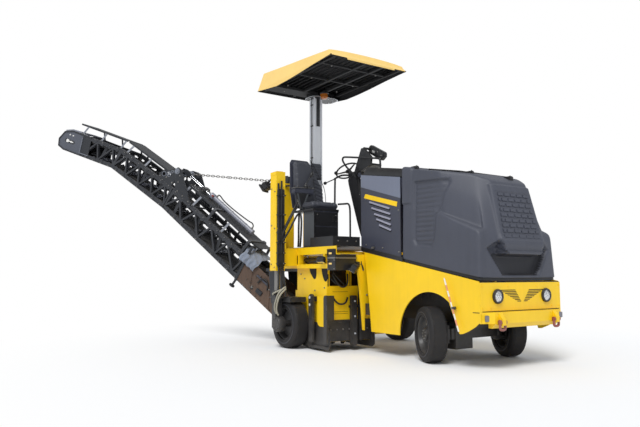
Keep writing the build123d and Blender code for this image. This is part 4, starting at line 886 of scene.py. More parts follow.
# %% Air slots, bumper joint and side markers
nose = Bench()
face = plate_x + 0.0004
# The air slots are thin dark strips on the plate: painted shade in the slots.
for side in (-1, 1):
    for row in range(8):
        slot_z = 0.752 - 0.0155 * row
        fan = (0.757 - slot_z) / 0.119
        outer, inner = -0.338 + 0.267 * fan, -0.107 + 0.088 * fan
        nose.facing_x(face, [(side * outer, slot_z), (side * (outer + 0.012), slot_z - 0.0075),
                             (side * (inner + 0.004), slot_z - 0.0075), (side * inner, slot_z)],
                      0.0012, 0, 0.0)
nose.slab((2.628, -0.575, 0.5465), (2.6372, 0.575, 0.5535), 0, 0.0)
for side in (-1, 1):
    nose.slab((2.540, side * 0.6 - (0.0015 if side < 0 else 0), 0.5375),
              (2.622, side * 0.6 + (0.0015 if side > 0 else 0), 0.5445), 0, 0.0)
    marker_y = side * 0.543
    nose.plate([(2.6595, marker_y - 0.030, 0.4600), (2.6595, marker_y - 0.030, 0.5180),
                (2.6595, marker_y + 0.030, 0.5180), (2.6595, marker_y + 0.030, 0.4600)],
               (0.012, side * 0.008, 0), 1, 0.004)
    for y, z in ((0.572, 0.790), (0.572, 0.585), (0.215, 0.790), (0.455, 0.585)):
        nose.bolt((plate_x, side * y, z), (1, 0, 0), 0.006, 2)
    nose.slab((2.700, side * 0.40 - 0.062, 0.4300), (2.7035, side * 0.40 + 0.062, 0.5250), 3, 0.001)
nose.facing_z(0.8225, [(2.6205, -0.59), (2.6345, -0.59), (2.6345, 0.59), (2.6205, 0.59)], 0.007, 4, 0.002)
marker_grey = coat("marker_grey", (0.16, 0.16, 0.19), 0.3, gloss=0.4, drift=0.05)
nose.done("nose_details", [joint_dark_and_slot_shade, marker_grey, yellow, yellow, hose_rubber], "machine")

# %% Towing shackles
shackles = Bench()
bows = []
low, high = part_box("tow_shackles")
pin_x = (low[0] + high[0]) / 2
lug_half = high[1] - 0.046
for side in (-1, 1):
    y = side * lug_half
    shackles.turned([(0, 0), (0, 0.0115), (0.003, 0.0135), (0.011, 0.0135), (0.012, 0.0100), (0.086, 0.0100),
                     (0.086, 0.0130), (0.0945, 0.0130), (0.0955, 0.0105), (0.0955, 0)],
                    (pin_x, y - 0.0478, 0.455), (0, 1, 0), 0, 24)
    for edge in (-1, 1):
        shackles.turned([(-0.009, 0.0105), (-0.009, 0.020), (-0.006, 0.0225), (0.006, 0.0225), (0.009, 0.020),
                         (0.009, 0.0105)], (pin_x, y + edge * 0.0355, 0.455), (0, 1, 0), 0, 24)
    bows.append([(pin_x, y - 0.0355, 0.452), (pin_x, y - 0.0370, 0.425), (pin_x, y - 0.0370, 0.394),
                 (pin_x, y - 0.020, 0.3830), (pin_x, y + 0.020, 0.3830), (pin_x, y + 0.0370, 0.394),
                 (pin_x, y + 0.0370, 0.425), (pin_x, y + 0.0355, 0.452)])
shackles.done("shackle_pins", [red_paint], "machine", ["tow_shackles"], 35)
hose("shackle_bows", bows, 0.0130, red_paint, "machine", ["tow_shackles"])

# %% [markdown]
# The sighting rod leans against the skirt: a white rod with red bands and a clamp with a knob.

# %% Sighting rod
rod = Bench()
top, foot = Vector((2.217, -0.640, 0.848)), Vector((2.392, -0.640, 0.354))
bands = 9
for k in range(bands):
    a, b = foot.lerp(top, k / bands), foot.lerp(top, (k + 1) / bands)
    rod.turned([(0, 0.0), (0, 0.0078), ((b - a).length, 0.0078), ((b - a).length, 0.0)], a, b - a, k % 2, 20)
rod.turned([(0, 0), (0, 0.0078), (0.012, 0.0060), (0.020, 0.0)], top, top - foot, 0, 20)
rod.slab((2.302, -0.652, 0.562), (2.325, -0.601, 0.586), 2, 0.004)
rod.turned([(0, 0.0), (0, 0.013), (0.006, 0.016), (0.012, 0.016), (0.018, 0.011), (0.020, 0)],
           (2.326, -0.628, 0.574), (1, 0, 0), 3, 20)
rod.done("banded_rod", [white_paint, band_orange, bare_steel, black_paint], "machine", ["sighting_rod"], 35)

# %% [markdown]
# ## Wheels
# All four wheels carry solid rubber: a flat tread with rounded shoulders, a moulded ring on the
# side wall and a bead against the rim.  A lathe profile makes each tyre and each dished rim; the
# front pair stands turned to the right, so its axis comes from the steering angle.

# %% Turn the tyres and rims
side_ring = coat("side_ring", (0.050, 0.052, 0.064), 0.45, drift=0.2, runs=0.0, wear=0.3,
                 dust=(0.06, 0.05, 0.05), near_ground=0.4, ground=0.4)


def tyre_profile(half, radius):
    outer = [(half - 0.004, 0.1905), (half - 0.0005, 0.197), (half - 0.0005, 0.203), (half - 0.004, 0.206),
             (half - 0.003, radius - 0.070), (half - 0.0005, radius - 0.064), (half - 0.0005, radius - 0.054),
             (half - 0.004, radius - 0.049), (half - 0.006, radius - 0.030), (half - 0.012, radius - 0.014),
             (half - 0.022, radius - 0.005), (half - 0.034, radius - 0.0012), (half - 0.036, radius - 0.004),
             (half - 0.040, radius - 0.004), (half - 0.042, radius - 0.0005)]
    return outer + [(-along, r) for along, r in reversed(outer)] + [(outer[0][0], outer[0][1])]


rim_profile = [(-0.012, 0), (-0.012, 0.160), (-0.056, 0.168), (-0.078, 0.180), (-0.080, 0.186),
               (-0.078, 0.1893), (0.078, 0.1893), (0.080, 0.186), (0.077, 0.180), (0.066, 0.174),
               (0.044, 0.168), (0.024, 0.158), (0.013, 0.142), (0.010, 0.120), (0.012, 0.104),
               (0.022, 0.094), (0.026, 0.084), (0.050, 0.079), (0.052, 0.070), (0.068, 0.066),
               (0.072, 0.058), (0.0725, 0.030), (0.069, 0.026), (0.069, 0)]
steer = math.radians(-24)
front_axle_x, kingpin_y, axle_arm, front_radius = 1.95, 0.4, 0.14, 0.285
rear_radius, rear_half = 0.295, 0.105
# place, side, centre, axle direction, radius, half width
wheel_set = [("front", word, (front_axle_x - side * axle_arm * math.sin(steer),
                              side * (kingpin_y + axle_arm * math.cos(steer)), front_radius),
              (-side * math.sin(steer), side * math.cos(steer), 0), front_radius, 0.0975)
             for word, side in (("right", -1), ("left", 1))]
wheel_set += [("rear", word, (0, y, rear_radius), (0, math.copysign(1, y), 0), rear_radius, rear_half)
              for word, y in (("right", -1.080), ("left", 0.660))]
for place, word, centre, axle, radius, half in wheel_set:
    rubber = Bench()
    rubber.turned(tyre_profile(half, radius), centre, axle, 0, 96)
    for face in rubber.mesh.faces:
        middle = face.calc_center_median() - Vector(centre)
        along = middle.dot(Vector(axle))
        away = (middle - Vector(axle) * along).length
        if radius - 0.066 < away < radius - 0.052 and abs(along) > half - 0.004:
            face.material_index = 1
    rubber.done(f"{place}_tyre_{word}_solid", [tyre_rubber, side_ring], f"{place}_wheel_{word}",
                [f"{place}_tyre_{word}"], 35)
    out = Vector(axle) * (-1 if (place, word) == ("rear", "right") else 1)
    rim = Bench()
    rim.turned(rim_profile, centre, out, 0, 72)
    spoke_up = Vector((0, 0, 1))
    spoke_on = out.cross(spoke_up)
    for k in range(8):
        turn = math.radians(45 * k + 12)
        spot = Vector(centre) + out * 0.0095 + (spoke_up * math.sin(turn) + spoke_on * math.cos(turn)) * 0.115
        rim.bolt(spot, out, 0.0125, 1)
        spot = Vector(centre) + out * 0.071 + (spoke_up * math.sin(turn) + spoke_on * math.cos(turn)) * 0.044
        rim.bolt(spot, out, 0.006, 1)
    rim.done(f"{place}_rim_{word}_dished", [black_paint, bare_steel], f"{place}_wheel_{word}",
             [f"{place}_rim_{word}"], 30)

# %% [markdown]
# The milling drum's holders each take a carbide-tipped pick, which points the way the drum cuts.

# %% Picks on the drum
picks = Bench()
for row in range(8):
    for number in range(5):
        share = (number + 0.5) / 5
        across = -0.903 + share * 0.551
        turn = math.radians(360 * row / 8 + 70 * abs(share - 0.5))
        out = Vector((math.cos(turn), 0, math.sin(turn)))
        forward = Vector((-math.sin(turn), 0, math.cos(turn)))
        base = Vector((0.270, across, 0.335)) + out * 0.252 + forward * 0.010
        way = (out * 0.80 + forward * 0.60).normalized()
        picks.turned([(0, 0), (0, 0.017), (0.014, 0.017), (0.016, 0.012), (0.030, 0.009), (0.040, 0.003),
                      (0.042, 0)], base, way, 0, 12)
picks.done("drum_picks", [bare_steel], "drum", (), 35)

# %% [markdown]
# ## Between the bodies
# The plate behind the front body is a folded one: its flare only reaches as far as the tie to
# the drum box.  In front of the box hangs a black service plate with a bright edge rail.

# %% Folded body plate
fold = Bench()
fold.facing_x(0.869, [(-0.598, 0.252), (-0.612, 0.252), (-0.640, 0.560), (-0.690, 0.960), (-0.700, 1.128),
                      (0.598, 1.128), (0.598, 0.562), (-0.598, 0.562)], 0.010, 0, 0.003)
fold.plate([(0.869, -0.6985, 1.128), (0.840, -0.6985, 1.128), (0.840, -0.6885, 0.96), (0.840, -0.638, 0.56),
            (0.840, -0.611, 0.254), (0.869, -0.611, 0.254), (0.869, -0.638, 0.56), (0.869, -0.6885, 0.96)],
           (0, 0.006, 0), 0, 0.001)
for y, z in ((-0.57, 1.09), (-0.57, 0.66), (0.57, 1.09), (0.57, 0.62), (0.1, 1.09), (-0.62, 0.95)):
    fold.bolt((0.879, y, z), (1, 0, 0), 0.009, 1)
fold.done("folded_body_plate", [yellow, bare_steel], "machine", ["bulkhead"])

# %% Service plate
service = Bench()
for near, far, paint, soft_edge in (
        # low corner, high corner, finish, edge
        ((0.704, -1.0105, 0.944), (0.872, -1.0015, 1.190), 0, 0.004),
        ((0.862, -1.0105, 0.944), (0.870, -0.715, 1.128), 0, 0.003),
        ((0.704, -1.0155, 1.078), (0.880, -1.0100, 1.094), 1, 0.002),
        ((0.870, -1.0155, 1.078), (0.879, -0.715, 1.094), 1, 0.002),
        ((0.704, -1.0125, 1.118), (0.872, -1.0105, 1.188), 2, 0.0),
        ((0.740, -1.0130, 1.128), (0.800, -1.0110, 1.150), 3, 0.001),
        ((0.740, -1.0130, 1.010), (0.800, -1.0110, 1.030), 3, 0.001)):
    service.slab(near, far, paint, soft_edge)
for x in (0.722, 0.850):
    for z in (0.960, 1.060):
        service.bolt((x, -1.0105, z), (0, -1, 0), 0.007, 1)
service.done("service_plate", [black_paint, bare_steel, joint_dark_and_slot_shade, yellow_painted_highlight], "machine")

# %% [markdown]
# Square work lamps look down at the ground, two by the drum box and one high on the right leg's
# guide.  The housings are ribbed, each face is a pale lens in a bezel, and a thin lead bends
# back from the first one to the body.

# %% Work lamps
def box_lamp(bench, centre, way, size, shell, lens):
    """A lamp head facing along a direction: bezel, lens, tapered body and cooling ribs."""
    way = Vector(way).normalized()
    across = way.cross(Vector((0, 0, 1))).normalized()
    up = across.cross(way)
    wide, tall, deep = size

    def ring(along, grow):
        middle = Vector(centre) + way * along
        return [middle + across * (wide * grow * a) + up * (tall * grow * b)
                for a, b in ((-0.5, -0.5), (0.5, -0.5), (0.5, 0.5), (-0.5, 0.5))]

    bench.plate(ring(deep * 0.30, 1.0), way * deep * 0.20, shell, min(wide, tall) * 0.08)
    bench.plate(ring(deep * 0.49, 0.84), way * deep * 0.035, lens, min(wide, tall) * 0.05)
    bench.plate(ring(-deep * 0.30, 0.80), way * deep * 0.62, shell, min(wide, tall) * 0.10)
    for k in range(5):
        bench.plate(ring(deep * (-0.42 + 0.10 * k), 0.70 + 0.045 * k), way * deep * 0.04, shell, 0.002)


lamps = Bench()
low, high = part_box("work_lamps")
box_lamp(lamps, (0.935, -0.785, 0.972), (-0.45, -0.35, -0.90), (0.125, 0.085, 0.10), 0, 1)
lamps.bar((0.905, -0.765, 0.985), (0.872, -0.700, 1.010), 0.010, 0)
lamps.slab((0.870, -0.720, 0.985), (0.884, -0.670, 1.045), 0, 0.003)
box_lamp(lamps, (0.632, -1.046, 1.072), (0.10, -0.25, -1.0), (0.125, 0.070, 0.075), 0, 1)
lamps.bar((0.625, -1.035, 1.072), (0.620, -0.998, 1.066), 0.011, 0)
box_lamp(lamps, (-0.345, -1.243, 2.030), (-0.75, -0.55, -0.62), (0.165, 0.120, 0.120), 0, 1)
lamps.bar((-0.300, -1.232, 2.050), (-0.125, -1.218, 2.072), 0.013, 0)
lamps.bar((-0.325, -1.236, 2.070), (-0.255, -1.228, 2.110), 0.012, 0)
lamps.slab((-0.140, -1.230, 2.040), (-0.123, -1.206, 2.092), 0, 0.003)
lamps.done("work_lamp_heads", [black_paint, lamp_glass], "machine", ["work_lamps"], 35)
hose("lamp_lead", [[(0.900, -0.755, 0.990), (0.935, -0.700, 1.030), (0.930, -0.655, 0.985),
                    (0.905, -0.640, 0.940),
                    (0.885, -0.640, 0.985), (0.880, -0.650, 1.050)]], 0.005, hose_rubber, "machine")

# %% [markdown]
# The drum box keeps its CAD walls.  Its dressing is what a fitter sees: two lifting notches under the lower
# beam, slotted posts, seam lines on the front, the black edge guard along the bottom, bolts, and the yellow
# tongue between the guide arms.  The notches and the post slots are thin dark plates, and dark brown sheets
# fill the box's openings: painted shade of the inside.

# %% Dress the drum box
box_bits = Bench()
wall = -0.9452
# The lifting notches are thin dark plates: painted shade in the notches.
box_bits.facing_y(wall, [(0.224, 0.966), (0.382, 0.966), (0.380, 0.885), (0.368, 0.852), (0.344, 0.838),
                         (0.318, 0.846), (0.290, 0.872), (0.246, 0.915)], -0.0015, 0, 0.0)
box_bits.facing_y(wall, [(0.490, 0.966), (0.618, 0.966), (0.618, 0.845), (0.602, 0.820), (0.572, 0.812),
                         (0.548, 0.826), (0.525, 0.862), (0.505, 0.905)], -0.0015, 0, 0.0)
for x, z in ((0.120, 0.845), (0.350, 0.705), (0.470, 0.585), (0.120, 0.60), (0.555, 0.74), (0.03, 0.90)):
    box_bits.bolt((x, wall, z), (0, -1, 0), 0.008, 1)
front = 0.6004
# Dark brown sheets behind the openings: painted shade of the box's inside.
box_bits.slab((0.404, -0.930, 0.706), (0.412, -0.320, 0.956), 4, 0.001)
box_bits.slab((0.412, -0.930, 0.700), (0.596, -0.924, 0.956), 4, 0.001)
# Dark strips on the posts: painted shade in their slots.
for y, z0, z1 in ((-0.926, 0.755, 0.900), (-0.608, 0.755, 0.930)):
    box_bits.slab((front, y - 0.007, z0), (front + 0.0012, y + 0.007, z1), 0, 0.0)
for z in (0.455, 0.432, 0.690):
    box_bits.slab((front, -0.860, z), (front + 0.0008, -0.640, z + 0.0035), 0, 0.0)
box_bits.slab((front, -0.944, 0.112), (front + 0.010, -0.312, 0.362), 2, 0.004)
box_bits.slab((front + 0.010, -0.944, 0.330), (front + 0.020, -0.312, 0.358), 2, 0.004)
for k in range(7):
    box_bits.bolt((front + 0.010, -0.90 + 0.09 * k, 0.250), (1, 0, 0), 0.009, 1)
box_bits.facing_y(-0.9640, [(0.428, 0.640), (0.428, 0.335), (0.450, 0.300), (0.490, 0.284), (0.560, 0.284),
                            (0.600, 0.300), (0.628, 0.335), (0.628, 0.640)], -0.004, 3, 0.001)
box_bits.bolt((0.588, -0.968, 0.325), (0, -1, 0), 0.009, 2)
for x in (0.44, 0.60):
    box_bits.slab((x, -0.966, 0.600), (x + 0.02, -0.9448, 0.638), 3, 0.002)
# Dark brown for the sheets in the openings: painted shade.
opening_painted_shade = coat("opening_painted_shade", (0.030, 0.018, 0.011), 0.6, drift=0.4, bare=(0.2, 0.1, 0.03), near_ground=0.3)
box_bits.done("drum_box_dressing", [joint_dark_and_slot_shade, bare_steel, black_paint, yellow, opening_painted_shade], "machine")

# %% [markdown]
# The guide arms of the side plate are black channels with rounded heads and two bright pins.

# %% Guide arms
def arm(bench, x0, x1, y0, y1, z0, z1, slot=0):
    """An upright flat bar with a rounded head, thick along y."""
    middle, half = (x0 + x1) / 2, (x1 - x0) / 2
    head = [(middle + half * math.cos(math.radians(a)), y0, z1 - half + half * math.sin(math.radians(a)))
            for a in range(0, 181, 20)]
    bench.plate([(x0, y0, z0), (x1, y0, z0)] + head, (0, y1 - y0, 0), slot, 0.003)


arms = Bench()
arm(arms, 0.318, 0.408, -1.020, -0.990, 0.100, 0.665)
arm(arms, 0.330, 0.396, -1.030, -1.018, 0.380, 0.655)
arm(arms, 0.640, 0.705, -1.020, -0.990, 0.100, 0.655)
for near, far in (
        # low corner, high corner
        ((0.696, -1.018, 0.365), (0.706, -0.912, 0.652)),
        ((0.604, -0.965, 0.560), (0.700, -0.9455, 0.640)),
        ((0.340, -1.010, 0.575), (0.400, -0.9455, 0.635))):
    arms.slab(near, far, 0, 0.003)
for x, z in ((0.363, 0.622), (0.363, 0.536)):
    arms.turned([(0, 0), (0, 0.016), (0.006, 0.016), (0.008, 0.012), (0.008, 0)], (x, -1.030, z),
                (0, -1, 0), 1, 24)
for near, far, soft_edge in (
        # low corner, high corner, edge
        ((0.612, -0.626, 0.060), (0.670, -0.546, 0.646), 0.008),
        ((0.616, -0.506, 0.110), (0.660, -0.474, 0.905), 0.004),
        ((0.6125, -0.640, 0.500), (0.640, -0.470, 0.530), 0.003)):
    arms.slab(near, far, 0, soft_edge)
for z in (0.20, 0.40, 0.58):
    arms.bolt((0.670, -0.586, z), (1, 0, 0), 0.009, 1)
arms.done("guide_arms", [black_paint, aluminium], "machine", ["plate_guides"])

# %% [markdown]
# Between the two side beams lies a black cylinder with its bright rod.  Hoses bend away from
# it, and more of them loop in the openings of the drum box.

# %% Side cylinder
ram = Bench()
ram.turned([(0, 0), (0, 0.030), (0.012, 0.037), (0.440, 0.037), (0.452, 0.040), (0.490, 0.040),
            (0.502, 0.034), (0.502, 0)], (0.085, -0.905, 1.070), (1, 0, -0.03), 0, 32)
ram.bar((0.090, -0.905, 1.070), (-0.115, -0.905, 1.076), 0.013, 1)
ram.turned([(-0.022, 0), (-0.022, 0.026), (0.022, 0.026), (0.022, 0)], (-0.125, -0.905, 1.076),
           (0, 1, 0), 0, 24)
ram.slab((-0.160, -0.925, 1.040), (-0.120, -0.885, 1.112), 0, 0.004)
ram.slab((0.585, -0.930, 1.020), (0.640, -0.880, 1.090), 0, 0.006)
for x in (0.13, 0.50):
    ram.turned([(0, 0), (0, 0.014), (0.022, 0.014), (0.022, 0.009), (0.040, 0.009), (0.040, 0)],
               (x, -0.905, 1.100), (0, -0.3, 1), 1, 6)
ram.done("side_cylinder", [black_paint, bare_steel], "machine", (), 35)
hose("side_hoses", [
    [(0.13, -0.912, 1.128), (0.10, -0.925, 1.150), (-0.02, -0.960, 1.115), (-0.17, -1.03, 1.06),
     (-0.20, -1.10, 1.03)],
    [(0.50, -0.912, 1.120), (0.56, -0.940, 1.150), (0.66, -0.960, 1.110), (0.74, -0.94, 1.04),
     (0.80, -0.85, 1.02)],
    [(0.20, -0.962, 1.022), (0.32, -0.972, 1.060), (0.45, -0.972, 1.035), (0.585, -0.960, 1.060)],
    [(0.595, -0.86, 0.90), (0.640, -0.84, 0.800), (0.645, -0.74, 0.735), (0.640, -0.66, 0.790),
     (0.595, -0.64, 0.90)],
    [(0.570, -0.84, 0.93), (0.610, -0.80, 0.850), (0.612, -0.72, 0.800), (0.570, -0.66, 0.760)],
    [(0.602, -0.855, 0.62), (0.625, -0.82, 0.560), (0.628, -0.75, 0.540), (0.625, -0.68, 0.560),
     (0.602, -0.645, 0.62)],
    [(0.570, -0.88, 0.86), (0.606, -0.86, 0.82), (0.600, -0.80, 0.775), (0.560, -0.75, 0.77)],
], 0.011, hose_rubber, "machine")

# %% [markdown]
# The right leg is a bright ram inside the yellow guide.  Black hoses in a banded wrap come down
# beside it, and pale lines curve over the black mudguard above the wheel.

# %% Right leg and mudguard
hub_steel = coat("hub_steel", (0.030, 0.031, 0.036), 0.35, metallic=0.3, drift=0.15, near_ground=0.3)
leg = Bench()
leg.turned([(0, 0), (0, 0.036), (0.62, 0.036), (0.62, 0.048), (1.10, 0.048), (1.10, 0)],
           (-0.050, -1.242, 0.330), (0, 0, 1), 0, 36)
leg.slab((-0.098, -1.290, 0.555), (-0.002, -1.194, 0.700), 1, 0.008)
leg.slab((-0.105, -1.292, 0.232), (0.005, -1.193, 0.560), 1, 0.014)
leg.turned([(0, 0), (0, 0.088), (0.010, 0.095), (0.088, 0.095), (0.098, 0.088), (0.098, 0)],
           (0, -1.2905, 0.295), (0, 1, 0), 1, 48)
leg.turned([(0, 0), (0, 0.040), (0.152, 0.040), (0.152, 0)], (0, -1.232, 0.295), (0, 1, 0), 1, 32)
for k in range(8):
    turn = math.radians(45 * k)
    leg.bolt((0.072 * math.cos(turn), -1.2905, 0.295 + 0.072 * math.sin(turn)), (0, -1, 0), 0.008, 3)
leg.slab((-0.172, -1.292, 0.607), (0.064, -1.180, 0.621), 1, 0.004)
leg.slab((-0.172, -1.190, 0.607), (0.200, -0.976, 0.621), 1, 0.004)
leg.facing_z(0.621, [(0.186, -1.190), (0.199, -1.190), (0.199, -0.976), (0.186, -0.976)], -0.060, 1, 0.003)
leg.facing_z(0.621, [(-0.172, -1.190), (-0.160, -1.190), (-0.160, -0.976), (-0.172, -0.976)],
             -0.050, 1, 0.003)
leg.slab((-0.160, -1.198, 0.560), (0.190, -1.188, 0.610), 1, 0.003)
leg.done("right_leg_ram", [bare_steel, black_paint, aluminium, hub_steel], "leg_right", ["leg_right"])

# %% Wraps and hoses beside the leg
wraps = Bench()
for z0, z1, wide in ((0.985, 1.300, 0.038), (1.300, 1.460, 0.050), (1.46, 1.95, 0.030)):
    wraps.slab((0.0265, -1.300, z0), (0.0265 + wide, -1.200, z1), 0, 0.010)
for z in (1.02, 1.15, 1.28, 1.40, 1.62, 1.86):
    wraps.slab((0.022, -1.307, z), (0.080, -1.194, z + 0.016), 0, 0.005)
    wraps.bolt((0.074, -1.225, z + 0.008), (1, 0, 0), 0.006, 1)
for z in (1.96, 1.50, 1.02):
    wraps.bolt((-0.09, -1.3045, z), (0, -1, 0), 0.008, 2)
    wraps.bolt((-0.01, -1.3045, z - 0.04), (0, -1, 0), 0.008, 2)
for near, far, soft_edge in (
        # low corner, high corner, edge
        ((-0.127, -1.3065, 0.945), (0.027, -1.3045, 0.985), 0.001),
        ((-0.127, -1.3065, 2.128), (0.027, -1.3045, 2.168), 0.001),
        ((-0.110, -1.290, 2.168), (0.010, -1.195, 2.178), 0.004)):
    wraps.slab(near, far, 3, soft_edge)
wraps.done("hose_wraps", [hose_rubber, bare_steel, bare_steel, yellow], "machine")
hose("leg_hoses", [
    [(0.040, -1.285, 2.02), (0.050, -1.285, 1.60), (0.052, -1.280, 1.20), (0.050, -1.275, 1.06)],
    [(0.058, -1.250, 2.05), (0.060, -1.255, 1.60), (0.062, -1.250, 1.10), (0.052, -1.250, 1.04)],
    [(0.060, -1.230, 1.40), (0.078, -1.190, 1.52), (0.085, -1.110, 1.66), (0.070, -1.050, 1.76),
     (0.020, -0.995, 1.80)],
    [(0.060, -1.260, 1.34), (0.095, -1.215, 1.46), (0.105, -1.140, 1.60), (0.090, -1.070, 1.70),
     (0.040, -1.010, 1.74)],
    [(0.060, -1.240, 1.30), (0.110, -1.200, 1.38), (0.125, -1.120, 1.54), (0.105, -1.050, 1.64),
     (0.060, -0.990, 1.66)],
    [(0.040, -0.985, 1.68), (0.080, -1.010, 1.60), (0.120, -1.040, 1.46), (0.090, -1.020, 1.32),
     (0.030, -0.99, 1.242)],
    [(0.060, -0.985, 1.70), (0.110, -0.990, 1.60), (0.150, -1.020, 1.44), (0.120, -1.010, 1.30),
     (0.060, -0.98, 1.242)],
], 0.012, hose_rubber, "machine")
low_runs = tube("low_runs", [
    [(0.044, -1.278, 1.12), (0.044, -1.278, 0.98), (0.046, -1.276, 0.86), (0.030, -1.270, 0.76),
     (0.012, -1.262, 0.68)],
    [(0.048, -1.250, 1.12), (0.048, -1.250, 0.96), (0.060, -1.246, 0.84), (0.062, -1.232, 0.74),
     (0.030, -1.215, 0.63)],
    [(0.044, -1.222, 1.12), (0.044, -1.222, 0.98), (0.070, -1.215, 0.86), (0.095, -1.210, 0.75),
     (0.098, -1.205, 0.63)],
], 0.012)
leg_hoses_low = settle("leg_hoses_low", bpy.data.meshes.new_from_object(low_runs), [hose_rubber], "leg_right")
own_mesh(leg_hoses_low)
pale_hose = coat("pale_hose", (0.36, 0.34, 0.27), 0.5, drift=0.15, dust=(0.3, 0.27, 0.2), near_ground=0.4)
hose("pale_lines", [
    [(0.098, -1.208, 0.745), (0.085, -1.290, 0.700), (0.030, -1.315, 0.560), (0.000, -1.312, 0.470),
     (0.004, -1.280, 0.420)],
    [(0.096, -1.205, 0.720), (0.115, -1.300, 0.660), (0.075, -1.318, 0.540), (0.052, -1.312, 0.450),
     (0.046, -1.280, 0.405)],
    [(0.098, -1.208, 0.730), (0.040, -1.296, 0.690), (-0.020, -1.306, 0.670), (-0.060, -1.304, 0.652),
     (-0.070, -1.284, 0.648)],
], 0.011, pale_hose, "leg_right")

# %% [markdown]
# ## Seat
# The seat is dark vinyl over foam.  Each pad starts as a slightly small block that is remeshed
# and blown up by a short cloth simulation with pressure and no gravity, with the movement capped,
# so the sides pull in between the corners.  Sewn pleats and seams are pressed in afterwards, and
# the piping follows the edges.

# %% A stuffed pad
def stuffed(name, build, body, stands_for, cap, sewn=None, voxel=0.007):
    bench = Bench()
    build(bench)
    pad = bpy.data.objects.new(name, harden(name + "_start", bench.mesh))
    scene.collection.objects.link(pad)
    remesh = pad.modifiers.new("remesh", "REMESH")
    remesh.mode = "VOXEL"
    remesh.voxel_size = voxel
    bpy.context.view_layer.update()
    mesh = bpy.data.meshes.new_from_object(pad.evaluated_get(bpy.context.evaluated_depsgraph_get()))
    pad.modifiers.clear()
    pad.data = mesh
    start = [v.co.copy() for v in mesh.vertices]
    cloth = pad.modifiers.new("cloth", "CLOTH")
    cloth.settings.use_pressure = True
    cloth.settings.uniform_pressure_force = 4.0
    cloth.settings.effector_weights.gravity = 0.0
    cloth.settings.quality = 4
    cloth.point_cache.frame_end = 20
    for frame_number in range(1, 21):
        scene.frame_set(frame_number)
    blown = bpy.data.meshes.new_from_object(pad.evaluated_get(bpy.context.evaluated_depsgraph_get()))
    pad.modifiers.clear()
    scene.frame_set(1)
    for vertex, old, new in zip(mesh.vertices, start, blown.vertices):
        move = new.co - old
        vertex.co = old + move * (min(1.0, cap / move.length) if move.length > 1e-6 else 1.0)
    bpy.data.meshes.remove(blown)
    mesh.update()
    if sewn:
        for vertex in mesh.vertices:
            depth = sewn(vertex.co)
            if depth:
                vertex.co = vertex.co - vertex.normal * depth
    for face in mesh.polygons:
        face.use_smooth = True
    mesh.materials.clear()
    mesh.materials.append(seat_vinyl)
    smoother = pad.modifiers.new("finer", "SUBSURF")
    smoother.levels = smoother.render_levels = 1
    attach(pad, body)
    if stands_for:
        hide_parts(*stands_for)
    print(name, len(mesh.polygons), "faces before subdivision")
    return pad


def notch(distance, width, depth):
    """A sewn line: deepest on the line, gone at the width."""
    return depth * math.exp(-(distance / width) ** 2) if abs(distance) < 3 * width else 0.0


def back_face(z):
    """The front face of the seat back leans back as it rises."""
    return -0.272 - 0.060 * max(0.0, min(1.0, (z - 1.76) / 0.66))


print("pad maker ready")

# %% [markdown]
# The back has a smooth main panel and, from its top left corner down, a pleated side bolster.
# A second, smaller pad stands behind it, and the cushion is a broad low pad with a rolled front.

# %% Seat back and cushion
def build_back(bench):
    outline = [(-0.822, 1.760), (-0.858, 2.010), (-0.850, 2.385), (-0.824, 2.420), (-0.588, 2.420),
               (-0.555, 2.385), (-0.368, 2.060), (-0.362, 1.760)]
    bench.plate([(back_face(z) - 0.004, y, z) for y, z in outline], (-0.060, 0, 0), 0, 0.014)


def back_seams(p):
    depth = 0.0
    if p.x > back_face(p.z) - 0.030:
        line_y = -0.575 + (2.420 - p.z) * 0.10
        depth += notch(p.y - line_y, 0.007, 0.009)
        if p.y > line_y and 1.80 < p.z < 2.36:
            phase = (p.z + 0.35 * (p.y - line_y) - 1.80) / 0.052
            depth += notch((phase - round(phase)) * 0.052, 0.007, 0.009)
        depth += notch(inside([(-0.815, 1.80), (-0.815, 2.375), (line_y - 0.02, 2.375),
                               (line_y - 0.02, 1.80)], p.y, p.z),
                       0.006, 0.005) if p.y < line_y else 0.0
    return depth


def build_shoulder(bench):
    outline = [(-0.540, 2.180), (-0.545, 2.395), (-0.520, 2.418), (-0.374, 2.418), (-0.350, 2.390),
               (-0.354, 2.180)]
    bench.plate([(-0.372, y, z) for y, z in outline], (-0.036, 0, 0), 0, 0.010)


def shoulder_seams(p):
    return sum(notch(p.z - z, 0.006, 0.005) for z in (2.235, 2.275, 2.315, 2.355))


def build_cushion(bench):
    bench.slab((-0.238, -0.822, 1.748), (0.092, -0.388, 1.814), 0, 0.018)
    bench.slab((0.030, -0.815, 1.742), (0.094, -0.395, 1.796), 0, 0.020)


def cushion_seams(p):
    depth = 0.0
    if p.z > 1.79:
        for y in (-0.735, -0.475):
            depth += notch(p.y - y, 0.007, 0.010)
        if -0.735 < p.y < -0.475:
            depth += sum(notch(p.x - x, 0.007, 0.008) for x in (-0.17, -0.10, -0.03, 0.04))
    return depth


stuffed("seat_back_pad", build_back, "machine", ["seat_back"], 0.020, back_seams, 0.008)
stuffed("shoulder_pad", build_shoulder, "machine", (), 0.010, shoulder_seams, 0.006)
stuffed("seat_cushion_pad", build_cushion, "machine", ["seat_cushion"], 0.018, cushion_seams, 0.008)
piping_black = coat("piping_black", (0.012, 0.012, 0.014), 0.35, drift=0.1, wear=0.1, near_ground=0.0)
edge = [(-0.580, 2.434), (-0.548, 2.398), (-0.460, 2.235), (-0.368, 2.062), (-0.360, 1.90), (-0.358, 1.775)]
hose("seat_piping", [
    [(back_face(z) + 0.002, y, z) for y, z in edge],
    [(back_face(z) + 0.008, -0.575 + (2.42 - z) * 0.10, z) for z in (2.415, 2.25, 2.05, 1.90, 1.80)],
], 0.0042, piping_black, "machine")

# %% [markdown]
# Under the pads: a folded seat pan, the arm box with its control lever, the triangular bracket
# below, the suspension base with a pale side cover and a dark front door, and the kick band.

